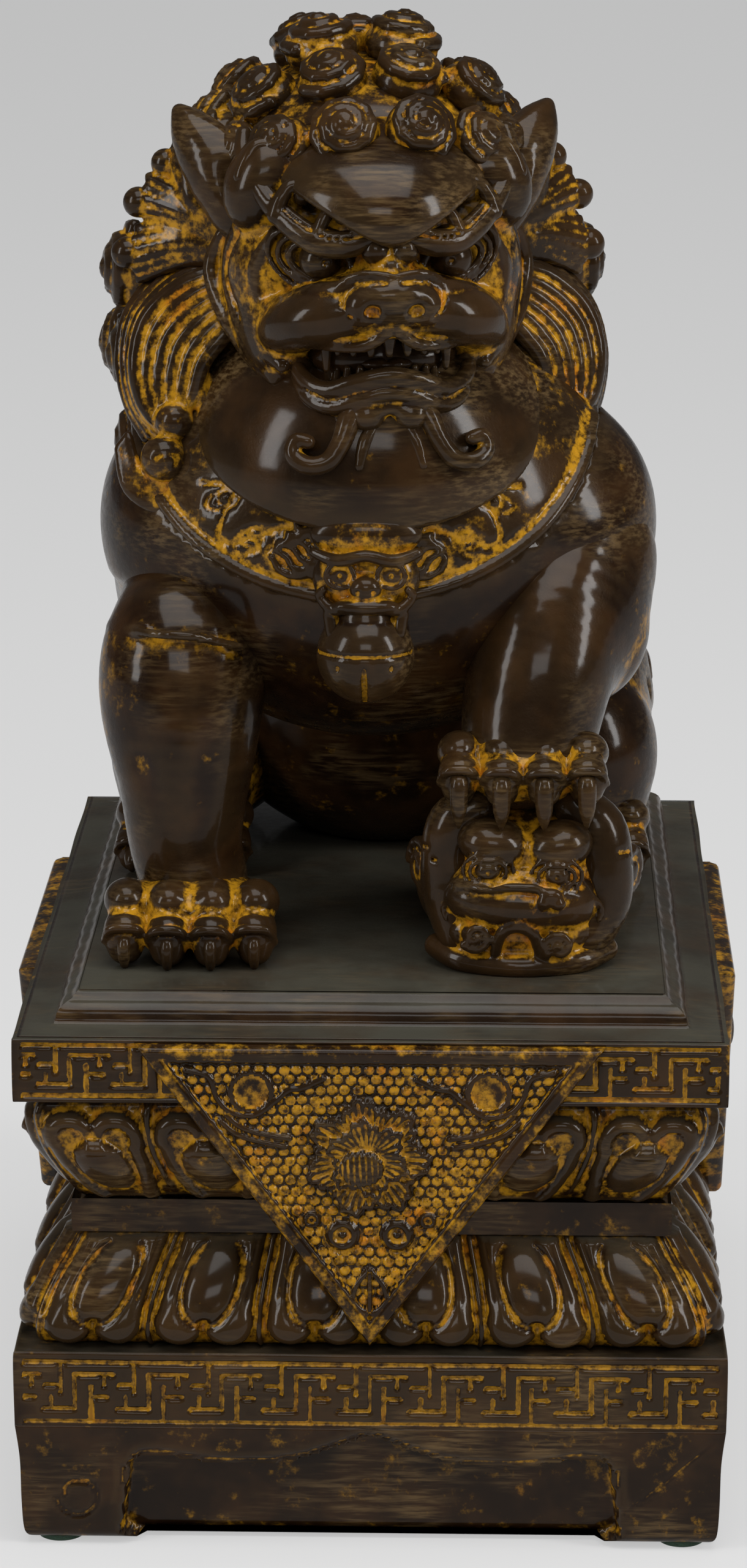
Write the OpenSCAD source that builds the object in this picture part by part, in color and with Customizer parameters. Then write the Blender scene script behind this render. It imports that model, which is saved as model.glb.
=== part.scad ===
// Guardian lion on a lotus plinth, sitting with its left forepaw on a cub.
// Millimetres, +Z up. The origin is the middle of the underside, and the lion faces -Y,
// so the lion's own left is +X.

/* [Plinth] */
// Width of the fret slab
slab_w = 178; // [150:1:220]
// Depth of the fret slab
slab_d = 230; // [200:1:280]
// Height of the fret slab's edge
slab_h = 17; // [10:1:24]
// How far the base course stands out past the fret slab on each side
base_out = 1; // [0:0.5:6]
// Height of the bracket feet and apron, above the pads
feet_h = 32; // [22:1:44]
// Height of the lower fret band
band_h = 19.5; // [12:0.5:28]
// Height of the lower lotus course
lower_lotus_h = 28; // [18:1:40]
// Height of the plain waist
waist_h = 8; // [4:1:16]
// Height of the upper lotus course
upper_lotus_h = 30; // [16:1:36]
// How far the waist stands back from the fret slab's edge
waist_in = 13; // [8:1:20]
// Height of the platform under the lion
platform_h = 8; // [4:1:14]
// Width of the ledge in front of and beside the platform
ledge = 10.5; // [6:0.5:16]
// Wall of the hollow plinth
plinth_wall = 8; // [5:1:12]
// Thickness of the felt pads
pad_h = 1.5; // [1:0.5:3]
// Radius of a felt pad
pad_r = 6; // [4:0.5:6.5]

/* [Cloths] */
// Width of the front and back cloths at the slab
cloth_w = 117; // [80:1:130]
// Width of the two side cloths at the slab
side_cloth_w = 106; // [80:1:140]
// How far the front and back cloths stand out from the slab
cloth_out = 3; // [2:0.5:6]
// How far the side cloths stand out from the slab
side_cloth_out = 4.5; // [2:0.5:8]
// Height of a cloth's point above the base course
cloth_tip_up = 3; // [0:0.5:8]

/* [Lion] */
// Height of the lion above the platform
lion_h = 235; // [200:1:270]
// How far the head turns to the lion's left
head_turn = 9; // [0:1:12]
// Wall of the hollow body
body_wall = 7; // [5:0.5:10]
// Radius of a locating pin
pin_r = 3; // [2:0.25:3.5]
// Depth that a locating pin reaches into each piece
pin_reach = 7; // [4:1:7.5]

/* [Hidden] */

// The dark lacquer and the ochre wash left in its hollows
lacquer = [0.20, 0.14, 0.10];
wash = [0.55, 0.38, 0.10];

// Heights of the plinth's joints, from the floor up
feet_top = pad_h + feet_h;
base_top = feet_top + band_h;
waist_bottom = base_top + lower_lotus_h;
waist_top = waist_bottom + waist_h;
slab_bottom = waist_top + upper_lotus_h;
slab_top = slab_bottom + slab_h;
platform_top = slab_top + platform_h;

base_w = slab_w + 2 * base_out;
base_d = slab_d + 2 * base_out;
waist_w = slab_w - 2 * waist_in;
waist_d = slab_d - 2 * waist_in;
// A lotus course is widest just inside the slab's or the base's edge
lotus_set_back = 3;
// Length of a bracket foot along the plinth's side, and how deep the apron is set back
foot_l = 26;
apron_in = 7;
board_h = 4;
board_up = 3;
// The board is glued up against a ledge of this width inside the feet
board_ledge = 4;
// The base course is thick enough to take the apron's recess
base_wall = plinth_wall + apron_in;
joint = 0.01;

// The lion is drawn at this height, and scaled from the platform's middle
drawn_h = 235;
fit = lion_h / drawn_h;
// The neck's axis, which the head turns about
neck = [-4.3, -20.7];
// Facets round a ball: small ones need fewer
small_r = 8;

// ---------- helpers ----------

module ball(p) translate([p[0], p[1], p[2]]) sphere(r = p[3], $fn = p[3] < small_r ? 12 : 16);

// Rounded bars through a list of [x, y, z, radius]
module chain(points)
    for (i = [0 : len(points) - 2]) hull() { ball(points[i]); ball(points[i + 1]); }

// One rounded mass over a list of [x, y, z, radius]
module mass(points) hull() for (p = points) ball(p);

// The same points with smaller balls, for the hollow inside
function inner(points, wall) = [for (p = points) [p[0], p[1], p[2], max(p[3] - wall, 1)]];

module on_platform() translate([0, 0, platform_top]) scale(fit) children();
module on_neck() translate([neck[0], neck[1], 0]) rotate([0, 0, head_turn]) children();
module sided(side) mirror([side < 0 ? 1 : 0, 0, 0]) children();

// A box centred on the plinth's axis
module course(w, d, low, high) translate([-w / 2, -d / 2, low]) cube([w, d, high - low]);

// The hollow inside a course of this width and depth
module hollow(w, d, wall, low, high) course(w - 2 * wall, d - 2 * wall, low - joint, high + joint);

// ---------- plinth ----------

module felt_pads() color("darkolivegreen")
    for (x = [-1, 1], y = [-1, 1])
        translate([x * (base_w - base_wall) / 2, y * (base_d - base_wall) / 2, 0])
            translate([-x * 3, -y * 3, 0]) cylinder(r = pad_r, h = pad_h, $fn = 48);

// The recess of one side: a cusped arch between two bracket feet
module apron_outline(length) {
    half = length / 2 - foot_l;
    rise = feet_h - 3;
    polygon(concat(
        [[-half - 3, -1], [-half, 6], [-half + 2, rise * 0.62], [-half + 9, rise * 0.74]],
        [for (t = [0.3 : 0.1 : 0.9]) [-half * (1 - t), rise * (0.72 + 0.28 * pow(t, 3))]],
        [[0, rise]],
        [for (t = [0.9 : -0.1 : 0.3]) [half * (1 - t), rise * (0.72 + 0.28 * pow(t, 3))]],
        [[half - 9, rise * 0.74], [half - 2, rise * 0.62], [half, 6], [half + 3, -1]]));
}

module apron(length, reach) translate([0, -reach, pad_h])
    rotate([90, 0, 0]) translate([0, 0, -apron_in]) linear_extrude(apron_in + 1) apron_outline(length);

module bracket_feet() color(lacquer) difference() {
    course(base_w, base_d, pad_h, feet_top);
    hollow(base_w, base_d, base_wall, pad_h, pad_h + board_up + board_h);
    hollow(base_w, base_d, base_wall + board_ledge, pad_h, feet_top);
    for (turn = [0, 180]) {
        rotate([0, 0, turn]) apron(base_w, base_d / 2);
        rotate([0, 0, turn + 90]) apron(base_d, base_w / 2);
    }
}

module lower_fret_band() color(wash) difference() {
    course(base_w, base_d, feet_top, base_top);
    hollow(base_w, base_d, plinth_wall, feet_top, base_top);
}

module closing_board() color("saddlebrown")
    course(base_w - 2 * base_wall, base_d - 2 * base_wall, pad_h + board_up, pad_h + board_up + board_h);

// A course that swells from the waist to its widest edge, or the hollow inside one
module swelling(narrow_z, wide_z, wall = 0, lap = 0) {
    up = sign(wide_z - narrow_z);
    for (step = [0 : 2]) hull() for (share = [step / 3, (step + 1) / 3]) {
        at = narrow_z + share * (wide_z - narrow_z) + (share == 0 ? -up * lap : share == 1 ? up * lap : 0);
        out = 2 * (waist_in - lotus_set_back) * pow(share, 0.6) - 2 * wall;
        course(waist_w + out, waist_d + out, at - joint, at + joint);
    }
}

// Trims what overlaps to the course's own height
module course_between(low, high) intersection() {
    children();
    course(2 * slab_w, 2 * slab_d, low, high);
}

module lower_lotus_course() color(wash) difference() {
    course_between(base_top, waist_bottom) swelling(waist_bottom, base_top);
    swelling(waist_bottom, base_top, plinth_wall, 1);
}

module waist_course() color(lacquer) difference() {
    course(waist_w, waist_d, waist_bottom, waist_top);
    hollow(waist_w, waist_d, plinth_wall, waist_bottom, waist_top);
}

module upper_lotus_course() color(wash) difference() {
    course_between(waist_top, slab_bottom) swelling(waist_top, slab_bottom);
    swelling(waist_top, slab_bottom, plinth_wall, 1);
}

// The slab is a ring, and the platform above it closes the hollow
module fret_slab() color(lacquer) difference() {
    course(slab_w, slab_d, slab_bottom, slab_top);
    hollow(slab_w, slab_d, ledge + plinth_wall, slab_bottom, slab_top);
}

module platform() color(lacquer) difference() {
    course(slab_w - 2 * ledge, slab_d - 2 * ledge, slab_top, platform_top);
    on_platform() pin_holes();
}

// A pointed cloth that hangs from the slab's edge, filled back to the waist
module cloth(width, reach, out) {
    tip = base_top + cloth_tip_up;
    deep = waist_in + out;
    translate([0, -(reach + out), 0]) rotate([90, 0, 0]) translate([0, 0, -deep])
        linear_extrude(deep) polygon([[-width / 2, slab_top - 1], [0, tip], [width / 2, slab_top - 1]]);
}

module plinth_stack() {
    course(slab_w, slab_d, slab_bottom, slab_top + 1);
    swelling(waist_top, slab_bottom);
    swelling(waist_bottom, base_top);
}

module hung_cloth(turn) {
    along = (turn % 180 == 0);
    difference() {
        rotate([0, 0, turn])
            if (along) cloth(cloth_w, slab_d / 2, cloth_out);
            else cloth(side_cloth_w, slab_w / 2, side_cloth_out);
        plinth_stack();
    }
}

module front_cloth() color(wash) hung_cloth(0);
module left_cloth() color(wash) hung_cloth(90);
module back_cloth() color(wash) hung_cloth(180);
module right_cloth() color(wash) hung_cloth(270);

// ---------- locating pins ----------

// Where the lion is pinned to the platform: the right forepaw and both hind paws
pin_places = [[-47, -60], [48, 20], [-48, 20]];

module pins(r, reach) for (p = pin_places)
    translate([p[0], p[1], -reach]) cylinder(r = r, h = 2 * reach, $fn = 48);

module pin_holes() pins(pin_r + 0.1, pin_reach + 0.5);

module locating_pins() color("silver") on_platform() pins(pin_r, pin_reach);

// ---------- body ----------

torso_front = [[-36, -20, 104, 33], [36, -20, 104, 33], [0, -38, 106, 37], [0, 10, 100, 40]];
torso_back = [[0, 10, 104, 42], [0, 56, 50, 42], [0, 66, 44, 36]];
torso_belly = [[0, -20, 96, 33], [0, 50, 40, 36]];

module torso_form(less = 0) {
    for (points = [torso_front, torso_back, torso_belly]) mass(inner(points, less));
}

module below_platform() translate([0, 0, -150]) cube([300, 300, 300], center = true);

module torso() color(lacquer) on_platform() difference() {
    torso_form();
    torso_form(body_wall);
    for (side = [-1, 1]) { foreleg_form(side); haunch_form(side); }
    below_platform();
}

bib_points = [[-33, -56, 122, 9], [33, -56, 122, 9], [0, -68, 122, 9], [0, -69, 132, 9],
    [-18, -66, 116, 6], [18, -66, 116, 6]];

module chest_bib() color(lacquer) on_platform() difference() {
    mass(bib_points);
    torso_form();
    collar_form();
    on_neck() { skull_form(); jaw_form(); beard_form(1); beard_form(-1); }
}

// The right foreleg stands, and the left one reaches forward onto the cub
function foreleg_points(side) = side < 0
    ? [[-50, -38, 92, 21], [-49.5, -50, 72, 21.5], [-49.5, -55, 48, 19], [-49.5, -58, 28, 16.5], [-48, -60, 22, 17]]
    : [[50, -34, 94, 22], [43, -46, 78, 20], [41, -54, 66, 18], [40, -58, 60, 16.5]];

module foreleg_form(side) chain(foreleg_points(side));

module foreleg(side) color(lacquer) on_platform() difference() {
    foreleg_form(side);
    hull() forepaw_form(side);
}
module left_foreleg() foreleg(1);
module right_foreleg() foreleg(-1);

// Four toes, each a rounded bar from the ball of the paw to its tip
function toe_x(i, width) = (i - 1.5) * width / 4;

module paw(width, length, height, toe_r) {
    for (i = [0 : 3]) hull() {
        ball([toe_x(i, width), -length / 2 + toe_r + abs(i - 1.5) * 1.5, toe_r, toe_r]);
        ball([toe_x(i, width) * 0.8, 0, height - toe_r, toe_r]);
    }
    hull() for (x = [-1, 1]) {
        ball([x * width * 0.28, length * 0.22, toe_r, toe_r]);
        ball([x * width * 0.2, 0, height - toe_r, toe_r]);
    }
}

// [x, y, z] of the middle of each paw's underside, and [width, length, height, toe radius]
function forepaw_at(side) = side < 0 ? [-47, -62, 0] : [38.5, -64, 38];
forepaw_size = [36, 46, 22, 6.5];
hind_paw_at = [52, 20, 0];
hind_paw_size = [30, 40, 20, 5.5];

module forepaw_form(side) translate(forepaw_at(side))
    paw(forepaw_size[0], forepaw_size[1], forepaw_size[2], forepaw_size[3]);

module left_forepaw() color(lacquer) on_platform() difference() {
    forepaw_form(1);
    cub_form();
}
module right_forepaw() color(lacquer) on_platform() difference() {
    forepaw_form(-1);
    pin_holes();
    below_platform();
}

module claws(at, size, drop) translate(at) for (i = [0 : 3])
    translate([toe_x(i, size[0]), -size[1] / 2 + abs(i - 1.5) * 1.5 - joint, size[3] - 1])
        rotate([90 + drop, 0, 0]) cylinder(r1 = 1.8, r2 = 0.7, h = 3, $fn = 24);

module fore_claws(side, drop) color(wash) on_platform() difference() {
    claws(forepaw_at(side), forepaw_size, drop);
    forepaw_form(side);
}
module left_fore_claws() fore_claws(1, 40);
module right_fore_claws() fore_claws(-1, 25);
module hind_claws() color(wash) on_platform() for (side = [-1, 1])
    sided(side) claws(hind_paw_at, hind_paw_size, 25);

haunch_points = [[42, 64, 40, 31], [46, 46, 38, 27], [52, 28, 30, 20], [52, 24, 20, 16], [50, 40, 14, 14], [46, 62, 14, 14]];

module haunch_form(side) sided(side) mass(haunch_points);
module hind_paw_form() translate(hind_paw_at)
    paw(hind_paw_size[0], hind_paw_size[1], hind_paw_size[2], hind_paw_size[3]);

module haunch(side) color(lacquer) on_platform() difference() {
    haunch_form(side);
    sided(side) {
        mass(inner(haunch_points, body_wall));
        hull() hind_paw_form();
    }
    below_platform();
}
module left_haunch() haunch(1);
module right_haunch() haunch(-1);

module hind_paw(side) color(lacquer) on_platform() difference() {
    sided(side) hind_paw_form();
    pin_holes();
    below_platform();
}
module left_hind_paw() hind_paw(1);
module right_hind_paw() hind_paw(-1);

tail_points = [[0, 92, 22, 11], [0, 100, 40, 12], [0, 99, 62, 14], [0, 90, 82, 14], [0, 78, 98, 11], [0, 70, 110, 6]];

module tail() color(wash) on_platform() difference() {
    chain(tail_points);
    torso_form();
    haunch_form(1);
    haunch_form(-1);
    back_mane_form();
}

// ---------- cub ----------

cub_head_points = [[30, -68, 18, 17], [46, -68, 18, 17], [38, -70, 12, 12], [38, -66, 28, 13]];
cub_body_points = [[24, -46, 18, 14], [54, -46, 18, 14], [40, -32, 16, 15]];
// Each of the cub's four paws: [x, y, z, radius] at its two ends
cub_paw_points = [
    [[17, -56, 32, 6], [20, -66, 36, 5]], [[61, -56, 32, 6], [60, -66, 34, 5]],
    [[15, -54, 8, 8], [20, -72, 7, 6]], [[62, -54, 8, 8], [58, -72, 7, 6]]
];

module cub_form() { mass(cub_head_points); mass(cub_body_points); cub_paw_form(); }
module cub_paw_form() for (ends = cub_paw_points) mass(ends);

module cub_head() color(lacquer) on_platform() difference() {
    mass(cub_head_points);
    below_platform();
}
module cub_body() color(lacquer) on_platform() difference() {
    mass(cub_body_points);
    mass(cub_head_points);
    below_platform();
}
module cub_paws() color(lacquer) on_platform() difference() {
    cub_paw_form();
    mass(cub_head_points);
    mass(cub_body_points);
    below_platform();
}

// ---------- collar ----------

// The collar hangs in a curve on the chest; share runs from one side to the other
function collar_at(share) = let (a = 200 + 140 * share)
    [54 * cos(a), -42 + 32 * sin(a) * 1.0, 128 + 34 * sin(a), 5.5];
collar_steps = 12;

module collar_form() chain([for (i = [0 : collar_steps]) collar_at(i / collar_steps)]);

module collar() color(wash) on_platform() difference() {
    collar_form();
    torso_form();
    foreleg_form(1);
    foreleg_form(-1);
    mask_form();
}

mask_points = [[-8, -76, 106, 4], [6, -76, 106, 4], [-7, -77, 97, 4], [5, -77, 97, 4], [-1, -78, 102, 5]];
module mask_form() mass(mask_points);
module collar_mask() color(wash) on_platform() difference() { mask_form(); torso_form(); }

bell_at = [-2, -73, 81];
bell_r = 11.5;
module collar_bell() color(lacquer) on_platform() difference() {
    union() {
        translate(bell_at) sphere(r = bell_r, $fn = 48);
        translate(bell_at) cylinder(r = 4.5, h = bell_r + 1.5, $fn = 48);
    }
    torso_form();
    mask_form();
    collar_form();
}

// ---------- head, drawn about the neck's axis ----------

skull_points = [[0, 2, 186, 36], [0, -12, 184, 32], [-26, -18, 172, 15], [26, -18, 172, 15], [0, -10, 160, 24]];
module skull_form() mass(skull_points);

module head_piece() on_platform() on_neck() children();

module skull() color(lacquer) head_piece() difference() {
    skull_form();
    mass(inner(skull_points, body_wall));
    cap_form();
    muzzle_form();
    jaw_form();
    on_chest() torso_form();
}

// Carries a form of the body into the head's own axes
module on_chest() rotate([0, 0, -head_turn]) translate([-neck[0], -neck[1], 0]) children();

muzzle_points = [[-19, -46, 165, 7.5], [19, -46, 165, 7.5], [-8, -53, 168, 8], [8, -53, 168, 8], [0, -48, 176, 8]];
module muzzle_form() mass(muzzle_points);
module muzzle() color(lacquer) head_piece() difference() { muzzle_form(); eye_forms(); }

jaw_points = [[-16, -43, 147, 4.5], [16, -43, 147, 4.5], [0, -48, 148, 4.5], [-14, -22, 148, 8], [14, -22, 148, 8]];
module jaw_form() mass(jaw_points);
module lower_jaw() color(lacquer) head_piece() difference() {
    jaw_form();
    on_chest() torso_form();
}

tongue_points = [[0, -44, 154.5, 2], [-7, -38, 154.5, 2], [7, -38, 154.5, 2]];
module tongue_form() mass(tongue_points);
module tongue() color("chocolate") head_piece() difference() {
    tongue_form();
    skull_form();
    jaw_form();
    muzzle_form();
}

// A row of pointed teeth: [x, y, z], pointing up or down
module tooth(p, up, r, h) translate(p) rotate([up ? 0 : 180, 0, 0])
    cylinder(r1 = r, r2 = 0.4, h = h, $fn = 24);
tooth_row = [for (i = [-3 : 3]) [i * 4.2, -47.5 + abs(i) * 0.9]];

module lower_teeth() color("tan") head_piece() difference() {
    for (t = tooth_row) tooth([t[0], t[1], 150], true, 1.6, abs(t[0]) > 12 ? 7.5 : 5);
    jaw_form();
    tongue_form();
    muzzle_form();
}
module upper_teeth() color("tan") head_piece() difference() {
    for (x = [-15.5, 15.5]) tooth([x, -49, 161], false, 2.2, 9);
    muzzle_form();
    jaw_form();
}

eye_at = [16, -45, 179];
module eye_forms() for (side = [-1, 1]) translate([side * eye_at[0], eye_at[1], eye_at[2]])
    sphere(r = 5, $fn = 48);
module eyes() color("goldenrod") head_piece() difference() {
    eye_forms();
    skull_form();
}

brow_points = [[5, -52, 184, 3], [14, -51, 184.5, 3.5], [24, -44, 187, 3.5], [30, -36, 192, 3.5], [33, -28, 198, 3]];
module brow(side) color(lacquer) head_piece() difference() {
    sided(side) chain(brow_points);
    skull_form();
    eye_forms();
    muzzle_form();
    boss_form();
}
module left_brow() brow(1);
module right_brow() brow(-1);

boss_points = [[0, -46, 198, 8], [-6, -42, 202, 8], [6, -42, 202, 8], [0, -47, 191, 7]];
module boss_form() mass(boss_points);
module forehead_boss() color(lacquer) head_piece() difference() {
    boss_form();
    skull_form();
    cap_form();
}

ear_points = [[33, 0, 188, 4.5], [37, -4, 198, 4.5], [41, 6, 204, 5], [45, 8, 210, 3.5], [48, 8, 214, 2]];
module ear_form(side) sided(side) mass(ear_points);
module ear(side) color(lacquer) head_piece() difference() {
    ear_form(side);
    skull_form();
    cap_form();
    fan_form(side);
}
module left_ear() ear(1);
module right_ear() ear(-1);

// ---------- mane ----------

cap_at = [0, 5, 190];
cap_r = 38;
module cap_form() intersection() {
    translate(cap_at) sphere(r = cap_r, $fn = 48);
    translate([0, 8, cap_at[2] + 54]) cube([100, 84, 100], center = true);
}
module crown_cap() color(wash) head_piece() difference() {
    cap_form();
    translate(cap_at) sphere(r = cap_r - body_wall, $fn = 48);
}

curl_r = 7;
curl_h = 7;
// Rows of snail curls: [angle up from level, number of curls, first and last bearing]
curl_rows = [[28, 6, 205, 335], [52, 5, 210, 330], [78, 2, 225, 315]];
module crown_curl(up, bearing) translate(cap_at)
    rotate([0, 90 - up, bearing]) translate([0, 0, cap_r])
        cylinder(r1 = curl_r, r2 = curl_r * 0.45, h = curl_h, $fn = 32);
module crown_curls() color(wash) head_piece() difference() {
    for (row = curl_rows, i = [0 : row[1] - 1])
        crown_curl(row[0], row[2] + i * (row[3] - row[2]) / (row[1] - 1));
    skull_form();
}

fan_lobes = [[50, 2, 198, 5.5], [57, 0, 187, 6], [60, -2, 174, 6]];
fan_root = [34, -2, 178, 12];
module fan_form(side) sided(side) for (lobe = fan_lobes) mass([fan_root, lobe]);
module mane_fan(side) color(wash) head_piece() difference() {
    fan_form(side);
    skull_form();
    cap_form();
    lock_form(side);
}
module left_mane_fan() mane_fan(1);
module right_mane_fan() mane_fan(-1);

lock_points = [[38, -2, 160, 12], [50, -4, 154, 12], [54, -6, 144, 10], [52, -10, 134, 8.5], [50, -18, 127, 6.5]];
module lock_form(side) sided(side) chain(lock_points);
module mane_lock(side) color(wash) head_piece() difference() {
    lock_form(side);
    skull_form();
    on_chest() { torso_form(); collar_form(); mass(bib_points); }
}
module left_mane_lock() mane_lock(1);
module right_mane_lock() mane_lock(-1);

mane_points = [[0, 16, 196, 33], [0, 34, 158, 31], [0, 42, 128, 26], [-30, 30, 140, 22], [30, 30, 140, 22],
    [-52, 24, 112, 12], [52, 24, 112, 12], [-20, 50, 100, 12], [20, 50, 100, 12]];
module back_mane_form() on_neck() mass(mane_points);
module back_mane() color(wash) on_platform() difference() {
    back_mane_form();
    on_neck() mass(inner(mane_points, body_wall));
    torso_form();
    on_neck() {
        skull_form();
        cap_form();
        for (side = [-1, 1]) { fan_form(side); lock_form(side); ear_form(side); }
    }
}

beard_points = [[8, -46, 142, 3.5], [10, -50, 136, 3.5], [14, -54, 130, 3.5], [20, -54, 129, 4], [22, -52, 133, 4]];
module beard_form(side) sided(side) chain(beard_points);
module beard_curl(side) color(lacquer) head_piece() difference() {
    beard_form(side);
    jaw_form();
    skull_form();
    on_chest() torso_form();
}
module left_beard_curl() beard_curl(1);
module right_beard_curl() beard_curl(-1);

// ---------- nodes ----------

felt_pads();
bracket_feet();
lower_fret_band();
closing_board();
lower_lotus_course();
waist_course();
upper_lotus_course();
fret_slab();
platform();
front_cloth();
back_cloth();
left_cloth();
right_cloth();
locating_pins();
torso();
chest_bib();
left_foreleg();
right_foreleg();
left_forepaw();
right_forepaw();
left_fore_claws();
right_fore_claws();
left_haunch();
right_haunch();
left_hind_paw();
right_hind_paw();
hind_claws();
tail();
cub_head();
cub_body();
cub_paws();
collar();
collar_mask();
collar_bell();
skull();
muzzle();
lower_jaw();
tongue();
lower_teeth();
upper_teeth();
eyes();
left_brow();
right_brow();
forehead_boss();
left_ear();
right_ear();
crown_cap();
crown_curls();
left_mane_fan();
right_mane_fan();
left_mane_lock();
right_mane_lock();
back_mane();
left_beard_curl();
right_beard_curl();
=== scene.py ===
"""Guardian lion on a lotus plinth, sculpted around the packed frame."""
import math

import bpy
import numpy as np
import openvdb as vdb
from mathutils import Euler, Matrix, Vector


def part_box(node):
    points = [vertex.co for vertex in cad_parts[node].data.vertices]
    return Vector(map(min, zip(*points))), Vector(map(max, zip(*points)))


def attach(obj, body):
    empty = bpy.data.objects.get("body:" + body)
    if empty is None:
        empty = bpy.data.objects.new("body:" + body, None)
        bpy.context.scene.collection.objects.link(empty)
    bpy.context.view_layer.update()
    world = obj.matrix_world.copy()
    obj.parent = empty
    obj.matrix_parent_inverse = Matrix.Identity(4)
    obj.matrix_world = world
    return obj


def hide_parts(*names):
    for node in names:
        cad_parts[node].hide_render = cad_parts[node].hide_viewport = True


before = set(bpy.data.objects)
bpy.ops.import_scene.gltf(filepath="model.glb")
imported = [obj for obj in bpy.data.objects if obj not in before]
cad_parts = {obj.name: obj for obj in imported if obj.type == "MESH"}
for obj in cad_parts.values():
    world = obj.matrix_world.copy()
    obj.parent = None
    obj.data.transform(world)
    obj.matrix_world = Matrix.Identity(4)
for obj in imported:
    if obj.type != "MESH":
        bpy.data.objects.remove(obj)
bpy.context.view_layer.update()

bl_info = {
    "name": "Guardian Lion",
    "version": (1, 0, 0),
    "blender": (4, 5, 0),
    "location": "View3D > Sidebar > Guardian Lion",
    "description": "Sculpts a seated guardian lion with its cub on a lotus plinth",
    "category": "Add Mesh",
}

MM = 0.001
# The lion is shaped at this height above the platform, then brought to the frame's size
DRAWN_H = 234.672
# Where the head turns from, and by how much
NECK = (-4.3, -20.7)
HEAD_TURN = math.radians(9)


def box_mm(node):
    """A CAD node's corners in millimetres."""
    low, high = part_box(node)
    return np.array(low) / MM, np.array(high) / MM


PLATFORM_TOP = box_mm("platform")[1][2]
FIT = (box_mm("crown_curls")[1][2] - PLATFORM_TOP) / DRAWN_H


# ---------- sizes and colours ----------


class LionSizes(bpy.types.PropertyGroup):
    """Sizes that the sculptor would set."""

    fine: bpy.props.FloatProperty(
        name="Fine grain", description="Spacing of the clay in the head and paws",
        default=0.00075, unit="LENGTH")
    coarse: bpy.props.FloatProperty(
        name="Body grain", description="Spacing of the clay in the body",
        default=0.0012, unit="LENGTH")
    groove: bpy.props.FloatProperty(
        name="Fret groove", description="Depth of the engraved fret",
        default=0.0011, unit="LENGTH")
    petal: bpy.props.FloatProperty(
        name="Petal relief", description="How far a lotus petal stands out",
        default=0.004, unit="LENGTH")


class LionFinish(bpy.types.PropertyGroup):
    """Colours of the lacquer and of the washes rubbed into it."""

    dark: bpy.props.FloatVectorProperty(
        name="Lacquer", description="The dark brown lacquer", subtype="COLOR",
        size=3, default=(0.0085, 0.0036, 0.0015))
    brown: bpy.props.FloatVectorProperty(
        name="Thin lacquer", description="Where the lacquer is thinner", subtype="COLOR",
        size=3, default=(0.027, 0.0115, 0.0036))
    tan: bpy.props.FloatVectorProperty(
        name="Dry brush", description="Golden tan brushed over raised places", subtype="COLOR",
        size=3, default=(0.118, 0.073, 0.030))
    ochre: bpy.props.FloatVectorProperty(
        name="Ochre wash", description="Yellow wash left in the hollows", subtype="COLOR",
        size=3, default=(0.43, 0.210, 0.010))
    amber: bpy.props.FloatVectorProperty(
        name="Amber wash", description="Orange wash left in the deepest hollows", subtype="COLOR",
        size=3, default=(0.46, 0.145, 0.006))
    # Painted reflection: a grey colour mixed onto faces that look up, standing in for the bright room
    # reflected in the lacquer
    painted_sheen: bpy.props.FloatVectorProperty(
        name="Reflection", description="Grey bloom on faces that look up", subtype="COLOR",
        size=3, default=(0.055, 0.053, 0.040))


# ---------- clay ----------


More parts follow.
